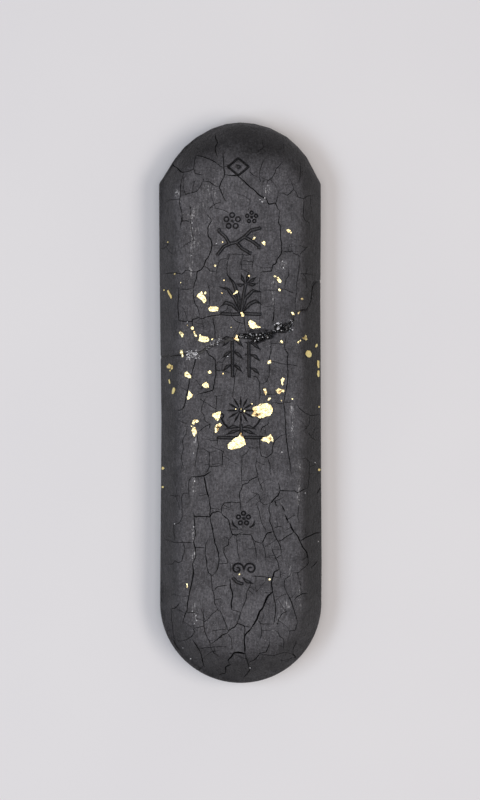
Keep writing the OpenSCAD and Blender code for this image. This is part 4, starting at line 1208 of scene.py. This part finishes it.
# Outline of each flake.
FLAKES = [
    [(8.6, 32.1), (9, 32.3), (9.4, 32), (9.3, 31.6), (8.9, 31.7)],
    [(4.0, 29.8), (4.5, 30.1), (4.75, 29.7), (4.65, 29.2), (4.35, 29.4)],
    [(2.3, 30.3), (2.6, 30.85), (2.95, 30.75), (2.6, 30.3)],
    [(6.8, 23.1), (7.05, 23.45), (7.35, 23.1), (7.65, 22.75), (7.6, 22.3), (7.25, 22.35), (7, 22.7)],
    [(7.1, 21.15), (7.35, 21.25), (7.6, 20.95), (7.45, 20.7), (7.2, 20.8)],
    [(-13.7, 20.95), (-13.45, 21.1), (-13.2, 20.5), (-12.85, 20), (-12.8, 19.5), (-13, 19.4),
     (-13.25, 19.9), (-13.5, 20.3)],
    [(-7.5, 20.5), (-7.15, 20.75), (-6.95, 20.2), (-6.45, 19.5), (-6.35, 18.9), (-6.75, 18.5), (-7.2, 19.1),
     (-7.6, 19.4), (-8.1, 19.7), (-7.95, 20.1)],
    [(-6.75, 20.5), (-6.5, 20.75), (-6.25, 20.4), (-6.45, 20.15), (-6.7, 20.2)],
    [(-5.95, 17.5), (-5.6, 17.9), (-5.2, 17.85), (-4.7, 17.95), (-4.2, 17.75), (-4.05, 17.4), (-4.3, 17.05),
     (-4.9, 16.95), (-5.5, 16.95), (-5.85, 17.15)],
    [(-1.4, 20.1), (-1, 20.4), (-0.75, 20.85), (-0.4, 20.85), (-0.45, 20.5), (-0.8, 20.3), (-1.15, 20.15)],
    [(0, 16.8), (0.35, 16.85), (0.45, 16.55), (0.75, 16.4), (0.7, 16.1), (0.25, 16), (0.2, 16.4)],
    [(1.9, 15.4), (1.5, 15), (1.55, 14.5), (1.85, 14), (2.2, 13.8), (2.9, 13.85), (3.4, 13.9), (3.85, 14),
     (3.5, 14.25), (3.1, 14.4), (2.75, 14.9), (2.3, 15.2)],
    [(9.5, 16.85), (9.75, 16.9), (10.2, 16.5), (10.15, 16.3), (9.7, 16.4)],
    [(10.7, 16.6), (10.8, 16.9), (11.1, 16.9), (11.05, 16.65), (10.85, 16.5)],
    [(-9.3, 13.8), (-9.2, 14.15), (-8.85, 14.2), (-8.7, 13.85), (-8.85, 13.6), (-9.15, 13.6)],
    [(-11.5, 13.1), (-11.25, 13.35), (-10.85, 13.1), (-10.65, 12.7), (-10.75, 12.3), (-11, 12.05),
     (-11.15, 12.5), (-11.5, 12.85)],
    [(-8.8, 13.4), (-8.55, 13.3), (-8.45, 12.8), (-8.2, 12.6), (-8.15, 12.3), (-8.45, 12.25), (-8.6, 12.55),
     (-8.75, 12.95)],
    [(-7.75, 12.5), (-7.55, 12.8), (-7.3, 12.45), (-6.8, 12.3), (-6.2, 12.25), (-5.85, 11.9), (-5.9, 11.5),
     (-6.3, 11.3), (-6.9, 11.25), (-7.5, 11.4), (-7.85, 11.55), (-7.7, 12)],
    [(-1.4, 12.2), (-1.1, 12), (-0.9, 12.2), (-0.8, 12.65), (-0.55, 12.55), (-0.6, 12.1), (-0.3, 11.75),
     (-0.3, 11.45), (-0.7, 11.6), (-1.2, 11.85)],
    [(7.4, 11.5), (7.65, 11.65), (8, 11.25), (7.9, 11), (7.6, 11.15)],
    [(11.45, 12.05), (11.9, 12.2), (12.15, 12.65), (12.4, 12.5), (12.4, 12.15), (12.6, 11.8), (12.3, 11.6),
     (11.9, 11.8)],
    [(10.6, 11.1), (10.75, 11.4), (11, 11.55), (11.25, 11.8), (11.3, 11.5), (11, 11.3), (10.8, 11.05)],
    [(14.05, 10.4), (14.2, 10.9), (14.45, 11.05), (14.55, 10.7), (14.3, 10.35)],
    [(12.15, 9.3), (12.5, 9.75), (13.05, 9.7), (13.35, 9.2), (13.3, 8.65), (12.95, 8.4), (12.5, 8.55),
     (12.2, 8.9)],
    [(-11.25, 9.7), (-10.95, 9.75), (-10.8, 9.3), (-10.75, 8.7), (-10.95, 8.35), (-11.1, 8.7),
     (-11.05, 9.1), (-11.3, 9.3)],
    [(-14, 6.75), (-13.7, 7.05), (-13.45, 7.3), (-13.15, 7.05), (-12.75, 6.95), (-12.7, 6.4), (-13, 6.1),
     (-13.2, 6.4), (-13.55, 6.4), (-13.9, 6.5)],
    [(-10.5, 5.6), (-10.1, 5.8), (-9.7, 5.45), (-9.3, 5), (-9.4, 4.55), (-9.85, 4.6), (-10.3, 4.85),
     (-10.55, 5.1)],
    [(-6.2, 5.7), (-5.9, 6.05), (-5.6, 5.9), (-5.55, 5.5), (-5.85, 5.4), (-6.1, 5.5)],
    [(-7.35, 3.25), (-6.9, 3.7), (-6.5, 3.9), (-6.15, 3.5), (-5.95, 2.9), (-6.35, 2.65), (-6.9, 2.85)],
    [(-13.65, 4.3), (-13.45, 4.4), (-13.3, 3.9), (-13.3, 3.55), (-13.5, 3.55), (-13.6, 3.95)],
    [(-13, 2.1), (-12.85, 2.6), (-12.6, 2.9), (-12.3, 2.45), (-12.5, 2), (-12.75, 1.6), (-13, 1.65)],
    [(-9.75, 2.25), (-9.5, 1.9), (-9, 1.45), (-9.25, 1.05), (-9.6, 0.8), (-9.95, 0.55), (-10.15, 0.85),
     (-9.95, 1.3), (-9.9, 1.8)],
    [(5, 7.4), (5.3, 7.9), (5.65, 7.9), (5.75, 7.5), (5.5, 7.3), (5.2, 7.15)],
    [(14.45, 7.9), (14.85, 7.9), (14.85, 6.6), (14.6, 6.5), (14.4, 7.2)],
    [(14.5, 6), (14.85, 6.05), (14.85, 4.9), (14.6, 4.75), (14.4, 5.4)],
    [(7.45, 4.2), (7.8, 4.65), (8.2, 4.5), (8.1, 4.1), (7.85, 3.75), (7.95, 3.35), (7.75, 3.2), (7.55, 3.5),
     (7.6, 3.9)],
    [(6.55, 2.25), (7.05, 2.7), (7.5, 2.55), (8.1, 2.4), (8.1, 1.95), (7.55, 2), (7.3, 1.55), (6.9, 1.75)],
    [(4.1, 2.45), (4.5, 2.75), (4.75, 2.3), (4.85, 1.75), (4.65, 1.4), (4.4, 1.75), (4.35, 2.2)],
    [(4.95, 0.5), (5.2, 0.85), (5.6, 1), (5.6, 0.75), (5.3, 0.45), (5.05, 0.35)],
    [(3.4, -0.25), (4.2, -0.15), (4.9, -0.1), (5.55, -0.45), (5.95, -1.15), (5.8, -1.9), (5.4, -2.45),
     (4.7, -2.5), (4, -2.9), (3.4, -2.85), (2.9, -2.5), (2.3, -2.55), (1.95, -2.3), (2.4, -1.7),
     (2.1, -1.1), (2.5, -0.7), (3.1, -0.6)],
    [(-5.45, -2.5), (-5.35, -2.05), (-4.75, -1.85), (-4.2, -1.65), (-3.75, -1.7), (-3.95, -2.3),
     (-4.05, -2.9), (-4.35, -3.4), (-4.8, -3.25), (-5, -2.8)],
    [(-4.75, -4.1), (-4.3, -4), (-4, -3.8), (-3.6, -4.1), (-3.95, -4.5), (-4.3, -5), (-4.5, -5.45),
     (-4.9, -5.6), (-4.95, -4.9)],
    [(-9.15, -3.4), (-8.7, -3.1), (-8.2, -3.2), (-7.95, -3.5), (-8.3, -3.75), (-8.6, -3.6), (-8.85, -4.1),
     (-9.2, -3.9)],
    [(-9.1, -4.7), (-8.7, -4.45), (-8.5, -4.9), (-8.35, -5.5), (-8.65, -6.2), (-8.85, -6.3), (-9.1, -5.7),
     (-9.3, -5.1)],
    [(-0.05, -5.55), (0.15, -6.1), (0.6, -6.8), (0.85, -7.75), (0.35, -8.05), (-0.2, -8.4), (-0.9, -8.5),
     (-1.8, -8.75), (-2.45, -8.55), (-2.5, -7.8), (-1.85, -7.1), (-1.2, -6.6), (-0.45, -6.3), (-0.3, -5.9)],
    [(3.75, -6.95), (4.1, -6.55), (4.7, -6.25), (5.2, -6.2), (5.5, -5.8), (5.75, -6.2), (6, -6.7),
     (6, -7.25), (5.5, -7.05), (5.15, -7.6), (4.8, -7.25), (4.2, -7.25)],
    [(5.1, -32.95), (5.35, -32.65), (5.55, -32.75), (5.4, -33.05)],
    [(-10.12, -33.65), (-9.9, -33.6), (-9.85, -34.3), (-10.05, -34.4)],
]


# Where leaf is torn through and the dark ink stains it: middle, reach across, reach along, strength.
TORN = [(2.8, -2.2, .9, .6, 1.15), (2.4, -1.2, .4, .4, .7), (0.2, -6.1, .4, .5, .9),
        (-4.3, -4.6, .5, .6, 1), (5.4, -6.6, .5, .5, .9), (-4.6, -2.9, .4, .4, .6), (7.3, 2, .5, .4, .8),
        (4.6, 1.9, .3, .4, .6), (-6.9, 12.4, .5, .3, .6), (12.7, 9.1, .6, .6, .4), (-1, 12, .5, .4, .9),
        (7.7, 3.6, .3, .3, .8), (-13.2, 6.7, .6, .5, .7), (12, 12.1, .5, .4, .7)]


RIM_STEP, LEAF_STEP, LEAF_T = 0.08, 0.1, 0.03


def leaf(corners, seed):
    """A ragged, crinkled flake of leaf laid on the face: vertices, faces and looks masks."""
    area = sum(ax * by - bx * ay for (ax, ay), (bx, by) in zip(corners, corners[1:] + corners[:1]))
    if area < 0:
        corners = corners[::-1]
    rim, _ = resample(corners + [corners[0]], RIM_STEP)
    rim = ragged(rim[:-1], 0.22, 0.045, seed)
    n = len(rim)
    xs, ys = np.meshgrid(*(np.arange(a, b, LEAF_STEP) for a, b in zip(rim.min(axis=0), rim.max(axis=0))))
    loose = np.stack([xs.ravel(), ys.ravel()], 1) + rng.uniform(-0.3, 0.3, (xs.size, 2)) * LEAF_STEP
    pts = [tuple(p) for p in rim]
    tree = tree_of(rim)
    for p in loose[in_polygon(loose[:, 0], loose[:, 1], rim)]:
        if tree.find((p[0], p[1], 0))[2] > LEAF_STEP * 0.5:
            pts.append(tuple(p))
    out = delaunay_2d_cdt([Vector(p) for p in pts], [(i, (i + 1) % n) for i in range(n)], [], 0, 1e-6, False)
    v = np.array([tuple(p) for p in out[0]])
    f = np.array([t for t in out[2] if len(t) == 3])
    mid = v[f].mean(axis=1)
    f = f[in_polygon(mid[:, 0], mid[:, 1], rim)]
    turn = np.cross(v[f[:, 1]] - v[f[:, 0]], v[f[:, 2]] - v[f[:, 0]])
    f = np.where((turn < 0)[:, None], f[:, ::-1], f)
    px, py = hand_worn(v[:, 0], v[:, 1])
    lift = 0.07 + 0.08 * fractal(v[:, 0], v[:, 1], 0.5, seed + 200, 4)
    z = MID_Z + height(v[:, 0], v[:, 1]) + np.maximum(lift, 0.012)
    top = np.column_stack([px, py, z])
    low = top - (0, 0, LEAF_T)
    sides = {(t[a], t[(a + 1) % 3]) for t in f.tolist() for a in range(3)}
    edge = sorted((a, b) for a, b in sides if (b, a) not in sides)
    m = len(v)
    faces = [list(t) for t in f] + [[t[2] + m, t[1] + m, t[0] + m] for t in f]
    faces += [[a, a + m, b + m, b] for a, b in edge]
    masks = {"flank": np.tile(1 - smooth(0.4, 0.8, inset_share(v[:, 0], v[:, 1])), 2),
             "torn": np.tile(np.clip(blend_places(v[:, 0], v[:, 1], TORN), 0, 1), 2)}
    return np.concatenate([top, low]), faces, masks


for i, corners in enumerate(FLAKES):
    name = "gold_flake_%02d" % (i + 1)
    v, f, masks = leaf(corners, i + 1)
    place(make_mesh(name, v, f, GOLD, masks, sharp=60), "gold_leaf", name)

# Specks too small to be pieces of the CAD part: middle and size.
SPECKS = [(-12.2, 24, .35), (-13.5, 30, .3), (11.6, 19.3, .5), (-5.3, 11.8, .45), (-1.7, 14, .3),
          (-9.9, 14.4, .3), (-3.3, 5.4, .3), (7.6, 0.4, .25), (9.6, 0.7, .4), (14.75, -0.8, .4),
          (-14.75, -12.3, .6), (-14.75, -15.8, .5), (-0.3, -31.9, .35), (-1, -1.2, .25), (0, -1.2, .25),
          (0.6, -1.6, .3), (-14.3, 21.1, .3), (-11.1, 22.3, .25), (-4.7, 25.5, .4), (-3.2, 29.9, .3),
          (6.5, 23.5, .5), (-13.3, 6, .3), (-9.3, -4.4, .3), (2, -0.2, .35), (-3, 22.8, .3),
          (1.7, 23.6, .3), (-3.4, 20.4, .3), (14.75, -12.6, .5), (9.45, 31.6, .3)]
# Pale crumbs of dust and glue, likewise.
DUST = [(7.7, -9.2, .28), (13.9, -11.2, .26), (12, -16.8, .24), (14.5, -26, .28), (1.7, -49.5, .3),
        (-10.8, -45.9, .24), (-9.4, -48, .26), (-9.9, 15, .26), (-8.3, -39.6, .3), (-8.2, -40.5, .34),
        (-9, -38.8, .26), (-8.6, -41.1, .24), (-4.4, 29.6, .22), (-8.9, 33.4, .28), (4.6, 38.1, .3),
        (4.1, 37.4, .34), (3.7, 37.8, .24), (-8.8, -7.3, .26), (-8.9, -9.4, .24), (-8.7, -14.6, .26),
        (-8.8, -23.1, .3), (-8.9, -24.2, .24), (-9.1, 27.4, .28), (-11.7, 39.2, .24), (7.9, 26.3, .3),
        (8.1, 25.1, .24), (-12.4, -22.6, .2), (-2.4, 8.6, .2)]


def crumbs(name, spots, material, slot, seed):
    """Scattered bits too small to be pieces of their own, as one piece."""
    verts, faces, masks, total = [], [], [], 0
    for i, (x, y, d) in enumerate(spots):
        r = random.Random(seed + i)
        corners = []
        for a in range(0, 360, 60):
            reach = d / 2 * r.uniform(0.7, 1.15)
            corners.append((x + reach * math.cos(math.radians(a)), y + reach * math.sin(math.radians(a))))
        v, f, m = leaf(corners, seed - 200 + i)
        m["pale"] = np.ones(len(v))
        verts.append(v)
        masks.append(m)
        faces += [[k + total for k in t] for t in f]
        total += len(v)
    masks = {k: np.concatenate([m[k] for m in masks]) for k in masks[0]}
    place(make_mesh(name, np.concatenate(verts), faces, material, masks, sharp=60), slot)


crumbs("gold_specks", SPECKS, GOLD, "gold_leaf", 500)
crumbs("dust_specks", DUST, PALE, "glue_crust", 700)

# ------------------------------------------------- floor, light and camera


def floor():
    s = Shader("pale_floor")
    pale = s.ramp(s.noise(0.02, 2, 0.5), [(0.3, (0.79, 0.78, 0.795)), (0.7, (0.81, 0.80, 0.81))])
    s.set(Base_Color=pale, Roughness=0.75, Specular_IOR_Level=0.2)
    me = bpy.data.meshes.new("floor")
    h = 4.0  # metres
    me.from_pydata([(-h, -h, 0), (h, -h, 0), (h, h, 0), (-h, h, 0)], [], [(0, 1, 2, 3)])
    me.materials.append(s.mat)
    ob = bpy.data.objects.new("floor", me)
    ob.location.z = -0.00002  # metres, just clear of the resting face
    bpy.context.scene.collection.objects.link(ob)


floor()


def softbox(name, x, y, z, power, colour, size_x, size_y):
    """Area light aimed at the stick; places and sizes in metres."""
    light = bpy.data.lights.new(name, "AREA")
    light.shape = "RECTANGLE"
    light.size, light.size_y = size_x, size_y
    light.energy = power
    light.color = colour
    ob = bpy.data.objects.new(name, light)
    ob.location = (x, y, z)
    ob.rotation_euler = (-ob.location).to_track_quat("-Z", "Y").to_euler()
    bpy.context.scene.collection.objects.link(ob)


softbox("left_softbox", -0.55, -0.11, 0.9, 3.3, (0.89, 1.0, 1.12), 0.62, 0.33)
softbox("right_softbox", 0.52, -0.11, 0.9, 3.3, (1.06, 1.0, 0.93), 0.62, 0.33)
softbox("top_softbox", 0.0, -0.05, 1.2, 3.9, (1.03, 1.0, 1.0), 0.56, 0.56)

world = bpy.data.worlds.new("room")
world.use_nodes = True
background = world.node_tree.nodes["Background"]
background.inputs["Color"].default_value = (0.165, 0.15, 0.153, 1)
background.inputs["Strength"].default_value = 1.0
bpy.context.scene.world = world

cam = bpy.data.cameras.new("camera")
cam.lens = 150
cam.clip_start = 0.01
cam_ob = bpy.data.objects.new("camera", cam)
cam_ob.location = (-0.00005, 0.0005, 0.632)
cam_ob.rotation_euler = (0, 0, 0)
bpy.context.scene.collection.objects.link(cam_ob)
bpy.context.scene.camera = cam_ob
bpy.context.scene.view_settings.view_transform = "Standard"
